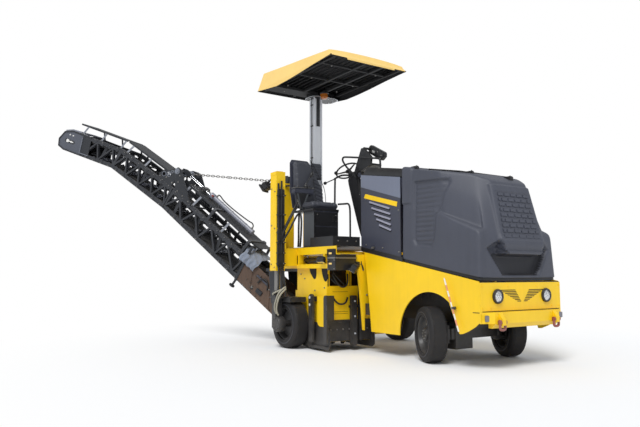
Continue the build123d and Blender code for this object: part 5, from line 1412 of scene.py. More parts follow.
# %% Seat hardware
seat_grey = coat("seat_grey", (0.075, 0.083, 0.092), 0.42, drift=0.10, bare=(0.2, 0.2, 0.2), near_ground=0.0,
                 dust=(0.16, 0.17, 0.17))
hard = Bench()
for near, far, paint, soft_edge in (
        # low corner, high corner, finish, edge
        ((-0.358, -0.818, 1.7052), (0.108, -0.412, 1.735), 1, 0.006),
        ((-0.168, -0.789, 1.2305), (0.098, -0.421, 1.706), 1, 0.008),
        ((-0.160, -0.7925, 1.260), (0.088, -0.788, 1.690), 0, 0.003),
        ((0.097, -0.786, 1.240), (0.0990, -0.424, 1.700), 1, 0.001),
        ((0.098, -0.776, 1.514), (0.1012, -0.434, 1.690), 1, 0.003),
        ((0.098, -0.776, 1.260), (0.1012, -0.434, 1.500), 1, 0.003),
        ((0.098, -0.776, 1.502), (0.1016, -0.434, 1.510), 2, 0.001)):
    hard.slab(near, far, paint, soft_edge)
for k in range(4):
    hard.slab((0.098, -0.520, 1.640 - 0.022 * k), (0.1065, -0.440, 1.650 - 0.022 * k), 1, 0.002)
for k in range(6):
    hard.slab((-0.170 + 0.002 * k, -0.791 + 0.004 * (k % 2), 1.692 + 0.0024 * k),
              (0.100, -0.419, 1.6945 + 0.0024 * k), 2, 0.0)
for y in (-0.748, -0.462):
    for z in (1.285, 1.655):
        hard.bolt((0.1005, y, z), (1, 0, 0), 0.007, 3)
        hard.bolt((0.055, -0.7925, z), (0, -1, 0), 0.006, 3)
hard.plate([(-0.350, -0.845, 1.770), (-0.368, -0.872, 2.010), (-0.396, -0.862, 2.385),
            (-0.399, -0.832, 2.432), (-0.399, -0.578, 2.432), (-0.397, -0.545, 2.395),
            (-0.372, -0.360, 2.055), (-0.350, -0.356, 1.770)], (-0.014, 0, 0), 2, 0.006)
for level, shape, deep, paint, soft_edge in (
        # place, outline, thickness, finish, edge
        (-0.300, [(-0.905, 1.946), (-0.900, 2.022), (-0.612, 2.030), (-0.606, 1.950)], 0.110, 2, 0.012),
        (-0.295, [(-0.902, 2.022), (-0.608, 2.030), (-0.608, 2.037), (-0.902, 2.030)], 0.108, 3, 0.002),
        (-0.190, [(-0.890, 1.948), (-0.700, 1.952), (-0.790, 1.735), (-0.835, 1.735)], 0.012, 1, 0.003),
        (-0.178, [(-0.885, 1.945), (-0.862, 1.945), (-0.812, 1.740), (-0.830, 1.740)], 0.010, 0, 0.002),
        (-0.178, [(-0.705, 1.945), (-0.730, 1.945), (-0.812, 1.740), (-0.795, 1.740)], 0.010, 0, 0.002),
        (-0.148, [(-0.905, 1.860), (-0.893, 1.865), (-0.836, 1.745), (-0.850, 1.742)], 0.008, 3, 0.002)):
    hard.facing_x(level, shape, deep, paint, soft_edge)
hard.turned([(0, 0), (0, 0.030), (0.012, 0.034), (0.030, 0.030), (0.042, 0.018), (0.058, 0.014), (0.060, 0)],
            (-0.205, -0.730, 2.034), (0, 0.1, 1), 1, 24)
hard.bar((-0.205, -0.726, 2.085), (-0.232, -0.630, 2.205), 0.008, 1)
hard.turned([(0, 0), (0, 0.012), (0.012, 0.020), (0.040, 0.024), (0.062, 0.021), (0.074, 0.012), (0.076, 0)],
            (-0.229, -0.640, 2.192), (-0.10, 0.55, 0.83), 1, 24)
for k, (dy, tall) in enumerate(((-0.86, 0.030), (-0.82, 0.022), (-0.66, 0.026), (-0.635, 0.018))):
    hard.turned([(0, 0), (0, 0.009), (tall, 0.008), (tall + 0.004, 0)], (-0.27 + 0.02 * k, dy, 2.034),
                (0, 0, 1), 1, 16)
hard.done("seat_hardware", [seat_grey, black_paint, slate_panel, bare_steel], "machine", ["seat_pedestal"])

# %% Deck dressing
deck = Bench()
for near, far, soft_edge in (
        # low corner, high corner, edge
        ((0.8062, -0.994, 1.2302), (0.8120, -0.612, 1.338), 0.002),
        ((0.330, -1.0035, 1.2302), (0.8120, -1.0005, 1.338), 0.001),
        ((0.330, -0.9935, 1.332), (0.812, -0.9800, 1.340), 0.002)):
    deck.slab(near, far, 0, soft_edge)
for row in range(9):
    for k in range(22):
        x, y = -0.52 + 0.060 * k, -0.955 + 0.070 * row
        if not (-0.20 < x < 0.13 and -0.82 < y < -0.39):
            lean = 0.012 if (row + k) % 2 else -0.012
            deck.facing_z(1.2302, [(x - 0.014, y - lean * 0.5 - 0.003), (x + 0.014, y + lean * 0.5 - 0.003),
                                   (x + 0.014, y + lean * 0.5 + 0.003), (x - 0.014, y - lean * 0.5 + 0.003)],
                          0.0022, 1, 0.0)
for x, y in ((0.808, -0.93), (0.808, -0.80), (0.808, -0.67)):
    deck.bolt((0.812, y, 1.285), (1, 0, 0), 0.008, 1)
deck.done("deck_dressing", [black_paint, bare_steel], "machine")

# %% [markdown]
# ## Driving position
# A narrow steering column leans against the cowl.  Over it stands a dark instrument board with a
# small display box turned to the seat, and a bent grab rail frames both.

# %% Console and board
desk = Bench()
for level, shape, deep, paint, soft_edge in (
        # place, outline, thickness, finish, edge
        (-0.248, [(0.430, 1.2305), (0.580, 1.2305), (0.500, 1.440), (0.420, 1.700), (0.275, 2.145),
                  (0.250, 2.165), (0.060, 2.165), (0.078, 2.080), (0.175, 1.840), (0.300, 1.545),
                  (0.330, 1.400)], 0.076, 0, 0.014),
        (-0.240, [(0.075, 2.165), (0.240, 2.165), (0.300, 2.215), (0.290, 2.250), (0.120, 2.238),
                  (0.080, 2.205)], 0.150, 0, 0.010),
        (-0.226, [(0.165, 2.200), (0.330, 2.230), (0.545, 2.290), (0.560, 2.385), (0.405, 2.520),
                  (0.335, 2.532), (0.250, 2.360)], 0.022, 0, 0.006),
        (-0.204, [(0.200, 2.200), (0.540, 2.285), (0.535, 2.310), (0.205, 2.232)], 0.160, 0, 0.006),
        (-0.204, [(0.405, 2.500), (0.335, 2.528), (0.360, 2.545), (0.420, 2.522)], 0.150, 0, 0.004),
        (-0.150, [(0.400, 2.545), (0.435, 2.566), (0.706, 2.425), (0.706, 2.370), (0.640, 2.330),
                  (0.385, 2.470)], 0.060, 0, 0.008),
        (-0.1515, [(0.476, 2.492), (0.528, 2.468), (0.520, 2.440), (0.468, 2.464)], 0.001, 1, 0.0)):
    desk.facing_y(level, shape, deep, paint, soft_edge)
for x, z in ((0.435, 2.535), (0.590, 2.445), (0.660, 2.390), (0.430, 2.478), (0.640, 2.352)):
    desk.bolt((x, -0.150, z), (0, -1, 0), 0.009, 2)
desk.turned([(0, 0), (0, 0.042), (0.020, 0.040), (0.050, 0.026), (0.088, 0.024), (0.088, 0)],
            (0.115, -0.210, 2.128), (-0.5, 0, 0.866), 0, 32)
desk.turned([(-0.004, 0), (-0.004, 0.030), (0.010, 0.034), (0.020, 0.030), (0.022, 0)],
            (0.320, -0.226, 2.180), (0, -1, 0), 3, 32)
for z in (1.32, 1.52, 1.72, 1.92):
    desk.bolt((0.545 - (z - 1.2) * 0.29, -0.248, z), (0, -1, 0), 0.006, 2)
for k in range(6):
    desk.turned([(0, 0), (0, 0.011), (0.010, 0.010), (0.014, 0)],
                (0.235 + 0.045 * k, -0.130, 2.236 + 0.0115 * k), (-0.25, 0, 1), 2 if k % 2 else 3, 16)
desk.done("console_board", [black_paint, white_paint, bare_steel, slate_panel], "machine", ["console"])

# %% Steering wheel
wheel = Bench()
normal = Vector((-0.5, 0, 0.8660254))
across = Vector((0, 1, 0))
forward = across.cross(normal)
hub = Vector((0.030, -0.210, 2.275))
ring_steps, tube_steps = 64, 12
ring = bmesh.new()
loops = []
for k in range(ring_steps):
    turn = 2 * math.pi * k / ring_steps
    out = across * math.cos(turn) + forward * math.sin(turn)
    grip = 0.0110 + 0.0006 * math.cos(turn * 24)
    loops.append([ring.verts.new(hub + out * 0.1625 + (out * math.cos(2 * math.pi * m / tube_steps)
                                                       + normal * math.sin(2 * math.pi * m / tube_steps))
                                 * grip) for m in range(tube_steps)])
for one, two in zip(loops, loops[1:] + loops[:1]):
    for m in range(tube_steps):
        n = (m + 1) % tube_steps
        ring.faces.new((one[m], two[m], two[n], one[n]))
wheel.take(ring, 0)
for turn in (90, 210, 330):
    out = across * math.cos(math.radians(turn)) + forward * math.sin(math.radians(turn))
    side = normal.cross(out)
    base = hub - normal * 0.014
    wheel.plate([base + out * 0.020 + side * 0.020, base + out * 0.158 + side * 0.011,
                 base + out * 0.158 - side * 0.011, base + out * 0.020 - side * 0.020],
                normal * 0.008, 0, 0.003)
wheel.turned([(-0.106, 0), (-0.106, 0.0138), (-0.020, 0.0138), (-0.018, 0.036), (-0.004, 0.038),
              (0.004, 0.034), (0.008, 0.020), (0.009, 0)], hub, normal, 0, 40)
knob = hub - across * 0.110 - forward * 0.1195
wheel.turned([(0.004, 0), (0.004, 0.010), (0.022, 0.009), (0.026, 0.018), (0.036, 0.024), (0.052, 0.024),
              (0.062, 0.016), (0.064, 0)], knob, normal, 0, 24)
wheel.done("steering_wheel_ring", [black_paint], "steering_wheel", ["steering_wheel"], 50)

# %% [markdown]
# The rails are bent round tube.  The lower one guards the entry beside the seat; the upper one
# rises from the console, turns over the wheel and comes down on the cowl's rear corner.

# %% Grab rails and lever
hose("grab_rails", [
    [(0.245, -0.337, 1.230), (0.245, -0.337, 1.640), (0.240, -0.337, 1.765), (0.205, -0.337, 1.812),
     (0.140, -0.337, 1.812),
     (-0.020, -0.337, 1.822)],
    [(0.844, -0.320, 2.150), (0.846, -0.320, 2.255), (0.838, -0.320, 2.300), (0.790, -0.320, 2.318),
     (0.553, -0.320, 2.358),
     (0.140, -0.320, 2.434), (0.070, -0.320, 2.442), (0.052, -0.320, 2.405), (0.110, -0.320, 2.335),
     (0.171, -0.320, 2.278),
     (0.262, -0.300, 2.200), (0.275, -0.252, 2.150)],
    [(-0.125, -0.320, 1.822), (-0.122, -0.320, 1.95), (-0.120, -0.320, 2.10), (-0.118, -0.318, 2.172)],
    [(-0.135, -0.318, 2.176), (-0.060, -0.316, 2.196), (0.020, -0.290, 2.215), (0.085, -0.240, 2.205)],
], 0.0125, black_paint, "machine", ["handrails"])
stalk = Bench()
stalk.bar((-0.130, -0.318, 2.176), (-0.365, -0.305, 2.150), 0.0075, 0)
stalk.turned([(0, 0), (0, 0.012), (0.012, 0.022), (0.034, 0.022), (0.046, 0.012), (0.048, 0)],
             (-0.355, -0.305, 2.152), (-1, 0.05, -0.1), 0, 24)
for at in ((0.245, -0.337, 1.2305), (0.844, -0.320, 2.150)):
    stalk.turned([(0, 0), (0, 0.036), (0.008, 0.036), (0.010, 0.018), (0.022, 0.016), (0.024, 0)], at,
                 (0, 0, 1), 0, 32)
stalk.done("turn_stalk", [black_paint], "machine")

# %% [markdown]
# ## Canopy
# The weather roof is a thin moulded wedge: yellow outside, made paler as a painted highlight, black inside,
# with pressed ribs, a black edge trim and small bright bolts.  One extruded post carries it on a dished
# flange, with a cable clipped to its side and an amber beacon tucked under the roof.

# %% Roof skins
roof_low_z, sheet = 3.380, 0.008


def roof_ring(inset, drop):
    """The four rim corners and the four top corners, drawn inwards by the sheet."""
    x0, x1, y0, y1 = -0.700 + inset, 1.060 - inset, -1.200 + inset, -0.070 - inset
    rise = {x0: 0.248 - drop, x1: 0.072 - drop}
    rim = [(x, y, roof_low_z) for x, y in ((x0, y0), (x1, y0), (x1, y1), (x0, y1))]
    top = []
    for x, y, z in rim:
        lean_x = 0.060 if x < 0 else -0.060
        lean_y = 0.242 * rise[x] * (1 if y < -0.6 else -1)
        top.append((x + lean_x, y + lean_y, z + rise[x]))
    return rim, top


roof_black = coat("roof_black", (0.0045, 0.0045, 0.0055), 0.62, drift=0.15, bare=(0.02, 0.02, 0.02), wear=0.2,
                  dust=(0.012, 0.012, 0.012), on_top=0.1, near_ground=0.0)
roof = Bench()
for inset, drop, slot, flip in ((0.0, 0.0, 0, False), (sheet, sheet, 1, True)):
    rim, top = roof_ring(inset, drop)
    skin = bmesh.new()
    low_verts = [skin.verts.new(p) for p in rim]
    high_verts = [skin.verts.new(p) for p in top]
    for k in range(4):
        m = (k + 1) % 4
        skin.faces.new((low_verts[k], low_verts[m], high_verts[m], high_verts[k]))
    skin.faces.new(high_verts)
    bmesh.ops.subdivide_edges(skin, edges=list(skin.edges), cuts=10, use_grid_fill=True)
    for vertex in skin.verts:
        along = (vertex.co.x + 0.7) / 1.76
        across_share = (vertex.co.y + 1.2) / 1.13
        if vertex.co.z > roof_low_z + 0.05:
            crown = math.sin(math.pi * min(1.0, max(0.0, across_share))) ** 0.5
            vertex.co.z += 0.030 * crown * step(0.25, 0.95, along) - (0.0 if slot == 0 else 0.001)
    corner_edges = [e for e in skin.edges if len(e.link_faces) == 2 and e.calc_face_angle(0) > 0.35]
    bmesh.ops.bevel(skin, geom=corner_edges, offset=0.014, segments=4, affect="EDGES", clamp_overlap=True)
    for face in skin.faces:
        face.material_index = slot
    if flip:
        bmesh.ops.reverse_faces(skin, faces=list(skin.faces))
    roof.add(skin)
print("roof skins", len(roof.mesh.faces), "faces")

# %% Roof rim, ribs and bolts
side_drop = [(-0.700, 3.382), (-0.440, 3.352), (-0.180, 3.325), (0.100, 3.330), (0.314, 3.340),
             (0.700, 3.366), (1.060, 3.382)]
for y_out, y_in in ((-1.200, 1), (-0.070, -1)):
    for (xa, za), (xb, zb) in zip(side_drop, side_drop[1:]):
        for level, shape, deep, paint, soft_edge in (
                # place, outline, thickness, finish, edge
                (y_out, [(xa, za), (xb, zb), (xb, 3.3815), (xa, 3.3815)], y_in * 0.004, 0, 0.0),
                (y_out + y_in * 0.004, [(xa, za), (xb, zb), (xb, 3.385), (xa, 3.385)], y_in * 0.004, 1, 0.0),
                (y_out + y_in * 0.001, [(xa, za - 0.003), (xb, zb - 0.003), (xb, zb + 0.006),
                                        (xa, za + 0.006)], y_in * 0.013, 1, 0.001)):
            roof.facing_y(level, shape, deep, paint, soft_edge)
for level, shape, deep, paint, soft_edge in (
        # place, outline, thickness, finish, edge
        (1.0602, [(-0.962, 3.3625), (-0.262, 3.3625), (-0.254, 3.383), (-0.970, 3.383)], -0.005, 0, 0.0),
        (1.055, [(-1.19, 3.370), (-0.08, 3.370), (-0.08, 3.386), (-1.19, 3.386)], -0.012, 1, 0.002),
        (-0.695, [(-1.19, 3.374), (-0.08, 3.374), (-0.08, 3.386), (-1.19, 3.386)], 0.012, 1, 0.002)):
    roof.facing_x(level, shape, deep, paint, soft_edge)
for x0, x1, y0, y1, z0, z1 in ((-0.680, 1.020, -0.660, -0.620, 3.388, 3.420),
                               (-0.680, 1.020, -0.405, -0.365, 3.388, 3.420),
                               (-0.680, 1.020, -0.150, -0.110, 3.388, 3.420),
                               (-0.680, 1.020, -1.120, -1.085, 3.388, 3.415),
                               (-0.610, -0.370, -1.170, -0.100, 3.386, 3.421),
                               (0.180, 0.215, -1.170, -0.100, 3.392, 3.424),
                               (0.700, 0.735, -1.160, -0.110, 3.392, 3.416)):
    roof.slab((x0, y0, z0), (x1, y1, z1), 1, 0.004)
for k in range(14):
    y = -1.06 + 0.074 * k
    roof.slab((-0.60, y, 3.428 + 0.0), (0.96, y + 0.012, 3.440), 1, 0.003)
for x, y in ((-0.25, -0.985), (-0.13, -0.28), (0.197, -0.90), (0.197, -0.25), (0.717, -0.95), (0.717, -0.28),
             (-0.49, -0.90)):
    roof.bolt((x, y, 3.3915), (0, 0, -1), 0.009, 2)
roof.done("roof_skins", [yellow_painted_highlight, roof_black, bare_steel], "machine", ["canopy_roof"], 35)

# %% Post and flange
amber = coat("amber_lens", (0.42, 0.12, 0.012), 0.18, gloss=0.6, drift=0.1, wear=0.0,
             near_ground=0.0, on_top=0.2)
post_paint = coat("post_paint", (0.80, 0.82, 0.86), 0.32, metallic=0.15, gloss=0.1, drift=0.04, runs=0.8,
                  bare=(0.9, 0.9, 0.9), wear=0.1, dust=(0.6, 0.6, 0.6), on_top=0.1, near_ground=0.0,
                  grain=0.0002)
post = Bench()
px, py, half = -0.490, -0.385, 0.065
lip, groove = 0.020, 0.006
quarter = [(-half, -half), (-half + lip, -half), (-half + lip, -half + groove), (half - lip, -half + groove),
           (half - lip, -half)]
profile = []
for _ in range(4):
    profile += quarter
    quarter = [(-b, a) for a, b in quarter]
post.plate([(px + a, py + b, 1.2302) for a, b in profile], (0, 0, 3.362 - 1.2302), 0, 0.0025)
rounded = [(px + 0.040 + 0.150 * math.copysign(abs(math.cos(t)) ** 0.6, math.cos(t)),
            py + 0.070 + 0.230 * math.copysign(abs(math.sin(t)) ** 0.6, math.sin(t)), 3.3440)
           for t in [2 * math.pi * k / 48 for k in range(48)]]
post.plate(rounded, (0, 0, 0.010), 1, 0.003)
post.plate([(x, y, 3.3412) for x, y, _ in rounded], (0, 0, 0.0030), 2, 0.001)
post.plate([(px + (x - px) * 0.96, py + (y - py) * 0.96, 3.3400) for x, y, _ in rounded],
           (0, 0, 0.003), 1, 0.001)
post.plate([(px + (x - px) * 0.80, py + (y - py) * 0.80, 3.352) for x, y, _ in rounded],
           (0, 0, 0.034), 1, 0.004)
for k in range(10):
    t = 2 * math.pi * k / 10 + 0.2
    post.bolt((px + 0.040 + 0.110 * math.cos(t), py + 0.070 + 0.185 * math.sin(t), 3.3402),
              (0, 0, -1), 0.008, 2)
post.slab((px + half - 0.004, py - 0.030, 2.95), (px + half + 0.0015, py + 0.024, 3.338), 1, 0.001)
post.slab((px - 0.110, py - 0.110, 1.2303), (px + 0.110, py + 0.110, 1.2440), 1, 0.004)
for a in (-0.088, 0.088):
    for b in (-0.088, 0.088):
        post.bolt((px + a, py + b, 1.244), (0, 0, 1), 0.010, 2)
for z in (1.6, 2.05, 2.5, 2.95, 3.25):
    post.slab((px - 0.020, py - half - 0.012, z), (px + 0.024, py - half + 0.004, z + 0.014), 1, 0.002)
post.done("canopy_column", [post_paint, black_paint, aluminium], "machine", ["canopy_post"], 40)
hose("post_cable", [[(px + 0.004, py - half - 0.006, 1.30), (px + 0.006, py - half - 0.007, 2.0),
                     (px + 0.002, py - half - 0.006, 2.7), (px + 0.004, py - half - 0.007, 3.20),
                     (px + 0.020, py - half - 0.020, 3.34), (px + 0.10, py - half - 0.04, 3.384)]], 0.006,
     hose_rubber,
     "machine")

# %% Beacon
beacon = Bench()
beacon.turned([(0, 0), (0, 0.062), (0.012, 0.064), (0.016, 0.056), (0.020, 0.054), (0.020, 0)],
              (-0.260, -0.400, 3.384), (0, 0, -1), 0, 40)
beacon.turned([(0.018, 0), (0.018, 0.050), (0.030, 0.052), (0.068, 0.048), (0.084, 0.034), (0.088, 0.012),
               (0.0885, 0)], (-0.260, -0.400, 3.384), (0, 0, -1), 1, 40)
beacon.done("roof_beacon", [black_paint, amber], "machine", (), 30)

# %% [markdown]
# ## Conveyor
# The conveyor has its own plane: out from the mast, up, and across.  Everything on it is placed
# with those three numbers.  Its side frames and belts are the construction's own solids; the
# covers, end plates, fold brackets, rollers, bolts and chain are made here.

# %% Conveyor helpers
mast_at = Vector((-0.750, -0.700, 0.0))
boom_out = Vector((math.cos(math.radians(213)), math.sin(math.radians(213)), 0))
boom_across = Vector((boom_out.y, -boom_out.x, 0))
low_line = [(-0.200, 0.125), (1.930, 1.874), (2.920, 2.541), (3.930, 2.906)]
high_line = [(-0.200, 0.584), (1.740, 2.163), (2.720, 2.824), (3.720, 3.205)]


def at_boom(s, z, n=0.0):
    return mast_at + boom_out * s + boom_across * n + Vector((0, 0, z))


def cross(leg, share, up):
    """A point between the chords: leg 0, 1 or 2, share along it, up from the lower chord."""
    (a, b), (c, d) = low_line[leg], low_line[leg + 1]
    (e, f), (g, h) = high_line[leg], high_line[leg + 1]
    low, high = (a + share * (c - a), b + share * (d - b)), (e + share * (g - e), f + share * (h - f))
    return low[0] + up * (high[0] - low[0]), low[1] + up * (high[1] - low[1])


def boom_way(flat):
    """A direction in the conveyor's plane, as a direction in space."""
    return boom_out * flat.x + Vector((0, 0, flat.y))


def boom_plate(bench, outline, n0, n1, slot=0, edge=0.003):
    bench.plate([at_boom(s, z, n0) for s, z in outline], boom_across * (n1 - n0), slot, edge)


def rise_from(leg):
    (a, b), (c, d) = high_line[leg], high_line[leg + 1]
    along = Vector((c - a, d - b)).normalized()
    return along, Vector((-along.y, along.x))


print("conveyor runs along", [round(v, 3) for v in boom_out])

# %% Conveyor finishes
hoop_grey = coat("hoop_grey", (0.17, 0.185, 0.22), 0.38, gloss=0.15, drift=0.10, bare=(0.35, 0.34, 0.33),
                 dust=(0.22, 0.20, 0.17), near_ground=0.0)
cover_black = coat("cover_black", (0.020, 0.022, 0.027), 0.45, drift=0.15, bare=(0.2, 0.2, 0.2),
                   dust=(0.10, 0.09, 0.08), near_ground=0.0)
barrel_grey = coat("barrel_grey", (0.24, 0.25, 0.30), 0.32, gloss=0.3, drift=0.06, near_ground=0.0,
                   dust=(0.3, 0.28, 0.26))

# %% Belt covers
for leg_set, name, body, stood in ((((0, 0.33, 0.94),), "base_top_cover", "boom_base", ["base_cover"]),
                                   (((1, 0.17, 1.0), (2, 0.0, 0.95)), "head_top_cover", "boom_head",
                                    ["head_cover"])):
    top = Bench()
    rise = 0.184 if body == "boom_base" else 0.152
    for leg, begin, end in leg_set:
        along, up = rise_from(leg)
        a, b = cross(leg, begin, 1.0), cross(leg, end, 1.0)
        rows = [(Vector(a) + up * (rise - 0.005), Vector(b) + up * (rise - 0.005)),
                (Vector(a) + up * rise, Vector(b) + up * rise)]
        boom_plate(top, [rows[0][0], rows[0][1], rows[1][1], rows[1][0]], -0.172,
                   0.172, 1, 0.001)
        for n in (-0.178, 0.166):
            low_a, low_b = Vector(a) + up * (rise - 0.026), Vector(b) + up * (rise - 0.026)
            boom_plate(top, [low_a, low_b, rows[1][1], rows[1][0]], n, n + 0.012, 1, 0.002)
        for k in range(7):
            share = begin + (end - begin) * (k + 0.5) / 7
            m = Vector(cross(leg, share, 1.0))
            rib = [m + up * (rise - 0.011) - along * 0.008, m + up * (rise - 0.011) + along * 0.008,
                   m + up * (rise - 0.005) + along * 0.008, m + up * (rise - 0.005) - along * 0.008]
            boom_plate(top, rib, -0.168, 0.168, 0, 0.001)
    hoops = ((0, 0.345), (0, 0.575), (0, 0.825), (0, 0.925)) if body == "boom_base" else (
        (1, 0.20), (1, 0.55), (1, 0.90), (2, 0.03), (2, 0.42), (2, 0.80))
    for leg, share in hoops:
        along, up = rise_from(leg)
        foot = Vector(cross(leg, share, 1.0))
        for side in (-1, 1):
            ends = []
            for height, out in ((0.0, 0.246), (rise - 0.003, 0.170)):
                for wide in (-0.017, 0.017):
                    p = foot + up * height + along * wide
                    ends.append(at_boom(p.x, p.y, side * out))
            top.plate([ends[0], ends[1], ends[3], ends[2]], boom_across * (-side * 0.006), 0, 0.001)
            p = foot + up * 0.004
            top.bolt(at_boom(p.x, p.y, side * 0.2505), boom_across * side, 0.008, 2)
        rail = [foot + up * (rise - 0.015) - along * 0.017, foot + up * (rise - 0.015) + along * 0.017,
                foot + up * (rise - 0.006) + along * 0.017, foot + up * (rise - 0.006) - along * 0.017]
        boom_plate(top, rail, -0.172, 0.172, 0, 0.001)
    top.done(name, [hoop_grey, cover_black, bare_steel], body, stood)

# %% [markdown]
# Both side frames get their gussets and bolt rows, the rollers their steel sleeves and end caps, and the belt
# its cleats.  The head has a thick dark rim, the slot of the belt tensioner with its screw, and a dark
# inspection opening behind it; the slot and the opening are flat black plates, painted shade of the inside.

# %% Side frames and rollers
for legs, name, body in ((((0, 0.32, 1.0),), "base_frame_details", "boom_base"),
                         (((1, 0.0, 1.0), (2, 0.0, 0.6)), "head_frame_details", "boom_head")):
    rig = Bench()
    for leg, begin, end in legs:
        along, up = rise_from(leg)
        count = 10 if leg == 0 else (6 if leg == 1 else 3)
        for side in (-1, 1):
            n0 = side * 0.2502
            for k in range(count + 1):
                share = begin + (end - begin) * (k + 0.5) / (count + 1)
                for row in (0.05, 0.95):
                    s, z = cross(leg, share, row)
                    turn = -1 if row < 0.5 else 1
                    boom_plate(rig, [(s - 0.045 * along.x, z - 0.045 * along.y),
                                     (s + 0.045 * along.x, z + 0.045 * along.y),
                                     (s + 0.018 * along.x + turn * -0.055 * up.x,
                                      z + 0.018 * along.y - turn * 0.055 * up.y),
                                     (s - 0.018 * along.x - turn * 0.055 * up.x,
                                      z - 0.018 * along.y - turn * 0.055 * up.y)], n0,
                               n0 + side * 0.004, 0, 0.001)
                    rig.bolt(at_boom(s, z, n0 + side * 0.004), boom_across * side, 0.007, 1)
            for row in (0.005, 0.995):
                a, b = Vector(cross(leg, begin, row)), Vector(cross(leg, end, row))
                lift = up * (0.010 if row < 0.5 else -0.010)
                boom_plate(rig, [a, b, b + lift, a + lift], n0,
                           n0 + side * 0.006, 0, 0.001)
    stations = [(0, 0.405), (0, 0.58), (0, 0.755), (0, 0.93)] if body == "boom_base" else [
        (1, 0.2), (1, 0.5), (1, 0.8), (2, 0.3)]
    for leg, share in stations:
        for row, radius in ((0.64, 0.0325), (0.22, 0.0275)):
            s, z = cross(leg, share, row)
            for n, length in ((-0.196, 0.120), (-0.060, 0.120), (0.076, 0.120)):
                rig.turned([(0, 0.018), (0, radius - 0.004), (0.006, radius), (length - 0.006, radius),
                            (length, radius - 0.004), (length, 0.018)], at_boom(s, z, n), boom_across, 2, 20)
    for leg, share in ((0, 0.50), (0, 0.665),
                       (0, 0.84)) if body == "boom_base" else ((1, 0.35), (1, 0.65), (2, 0.15)):
        for row in (0.10, 0.90):
            s, z = cross(leg, share, row)
            rig.bar(at_boom(s, z, -0.205), at_boom(s, z, 0.205), 0.012, 0, 12)
    rig.done(name, [boom_paint, bare_steel, barrel_grey], body)

# %% Head end
panel_grey = coat("panel_grey", (0.075, 0.082, 0.104), 0.38, gloss=0.15, drift=0.12, bare=(0.25, 0.25, 0.26),
                  near_ground=0.0)
end = Bench()
rim_line = [(3.500, 2.752), (3.930, 2.908), (4.038, 2.986), (4.028, 3.108), (3.898, 3.212), (3.720, 3.202),
            (3.330, 3.052)]
for side in (-1, 1):
    n0 = side * 0.2502
    boom_plate(end, [(3.572, 2.790), (3.925, 2.918), (4.026, 2.992), (4.018, 3.104), (3.890, 3.200),
                     (3.722, 3.190), (3.505, 3.108)], n0, n0 + side * 0.0015, 4, 0.0)
    n0 = side * 0.2517
    for (a, b), (c, d) in zip(rim_line, rim_line[1:]):
        run = Vector((c - a, d - b)).normalized()
        inner = Vector((-run.y, run.x)) * 0.022
        boom_plate(end, [(a, b), (c, d), (c + inner.x, d + inner.y), (a + inner.x, b + inner.y)], n0,
                   n0 + side * 0.007, 0 if a > 3.45 else 1, 0.001)
    run = Vector((0.93, 0.36))
    lift = Vector((-0.36, 0.93))
    middle = Vector((3.790, 3.032))
    slot_hole = [middle + run * (0.082 * math.copysign(1, math.cos(t)) + 0.028 * math.cos(t))
                 + lift * (0.028 * math.sin(t)) for t in [math.radians(9 + 18 * k) for k in range(20)]]
    # The tensioner slot is a flat black plate: painted shade in the slot.
    boom_plate(end, slot_hole, n0, n0 + side * 0.0015, 0, 0.0)
    boom_plate(end,
               [middle + run * a + lift * b for a, b in ((0.018, -0.024), (0.070, -0.024), (0.070, 0.024),
                                                         (0.018, 0.024))], n0, n0 + side * 0.010, 2, 0.002)
    end.bar(at_boom(*(middle + run * 0.018), n0 + side * 0.006),
            at_boom(*(middle - run * 0.085), n0 + side * 0.006), 0.008, 2, 12)
    end.bolt(at_boom(*(middle - run * 0.040), n0 + side * 0.002), boom_across * side, 0.014, 2)
    for a in (-0.040, 0.030):
        end.bolt(at_boom(*(middle + run * a + lift * 0.105), n0 + side * 0.001), boom_across * side, 0.010, 2)
    # The first plate is the inspection opening, flat black: painted shade inside it.
    for shape, farther, paint, soft_edge in (
            # outline, far side, finish, edge
            ([(3.560, 2.815), (3.402, 2.757), (3.345, 3.000), (3.500, 3.060)], n0 + side * 0.0015, 0, 0.0),
            ([(3.560, 2.815), (3.402, 2.757), (3.398, 2.768), (3.557, 2.827)], n0 + side * 0.012, 1, 0.001),
            ([(3.570, 2.818), (3.582, 2.822), (3.520, 3.068), (3.508, 3.064)], n0 + side * 0.012, 1, 0.001)):
        boom_plate(end, shape, n0, farther, paint, soft_edge)
along, up = rise_from(2)
boom_plate(end, [(3.560, 3.146), (3.735, 3.213), (3.895, 3.222), (3.885, 3.236), (3.730, 3.228),
                 (3.545, 3.160)], -0.243, 0.243, 3, 0.003)
end.done("head_end_details", [cover_black, hoop_grey, white_paint, barrel_grey, panel_grey], "boom_head")

# %% Belt cleats
cleats = {"boom_base": Bench(), "boom_head": Bench()}
for leg, begin, finish, body in ((0, 0.10, 0.99, "boom_base"), (1, 0.01, 0.99, "boom_head"),
                                 (2, 0.01, 0.90, "boom_head")):
    along, up = rise_from(leg)
    count = int((finish - begin) * (16 if leg == 0 else 8))
    for k in range(count):
        share = begin + (finish - begin) * (k + 0.5) / count
        for row, turn in ((0.755, 1), (0.12, -1)):
            p = Vector(cross(leg, share, row))
            for side in (-1, 1):
                ends = [at_boom(*(p + along * 0.07), 0.0), at_boom(*(p + along * 0.085), 0.0),
                        at_boom(*(p + along * 0.015), side * 0.165), at_boom(*p, side * 0.165)]
                thick = boom_way(up) * (0.009 * turn)
                cleats[body].plate(ends, thick, 0, 0.002)
cleats["boom_base"].done("base_belt_cleats", [belt_rubber], "boom_base")
cleats["boom_head"].done("head_belt_cleats", [belt_rubber], "boom_head")

# %% [markdown]
# The fold bracket is a dark plate with round lightening holes.  Behind it sit the lift gear's
# end fittings, and a chain of real links runs from there to the mast.

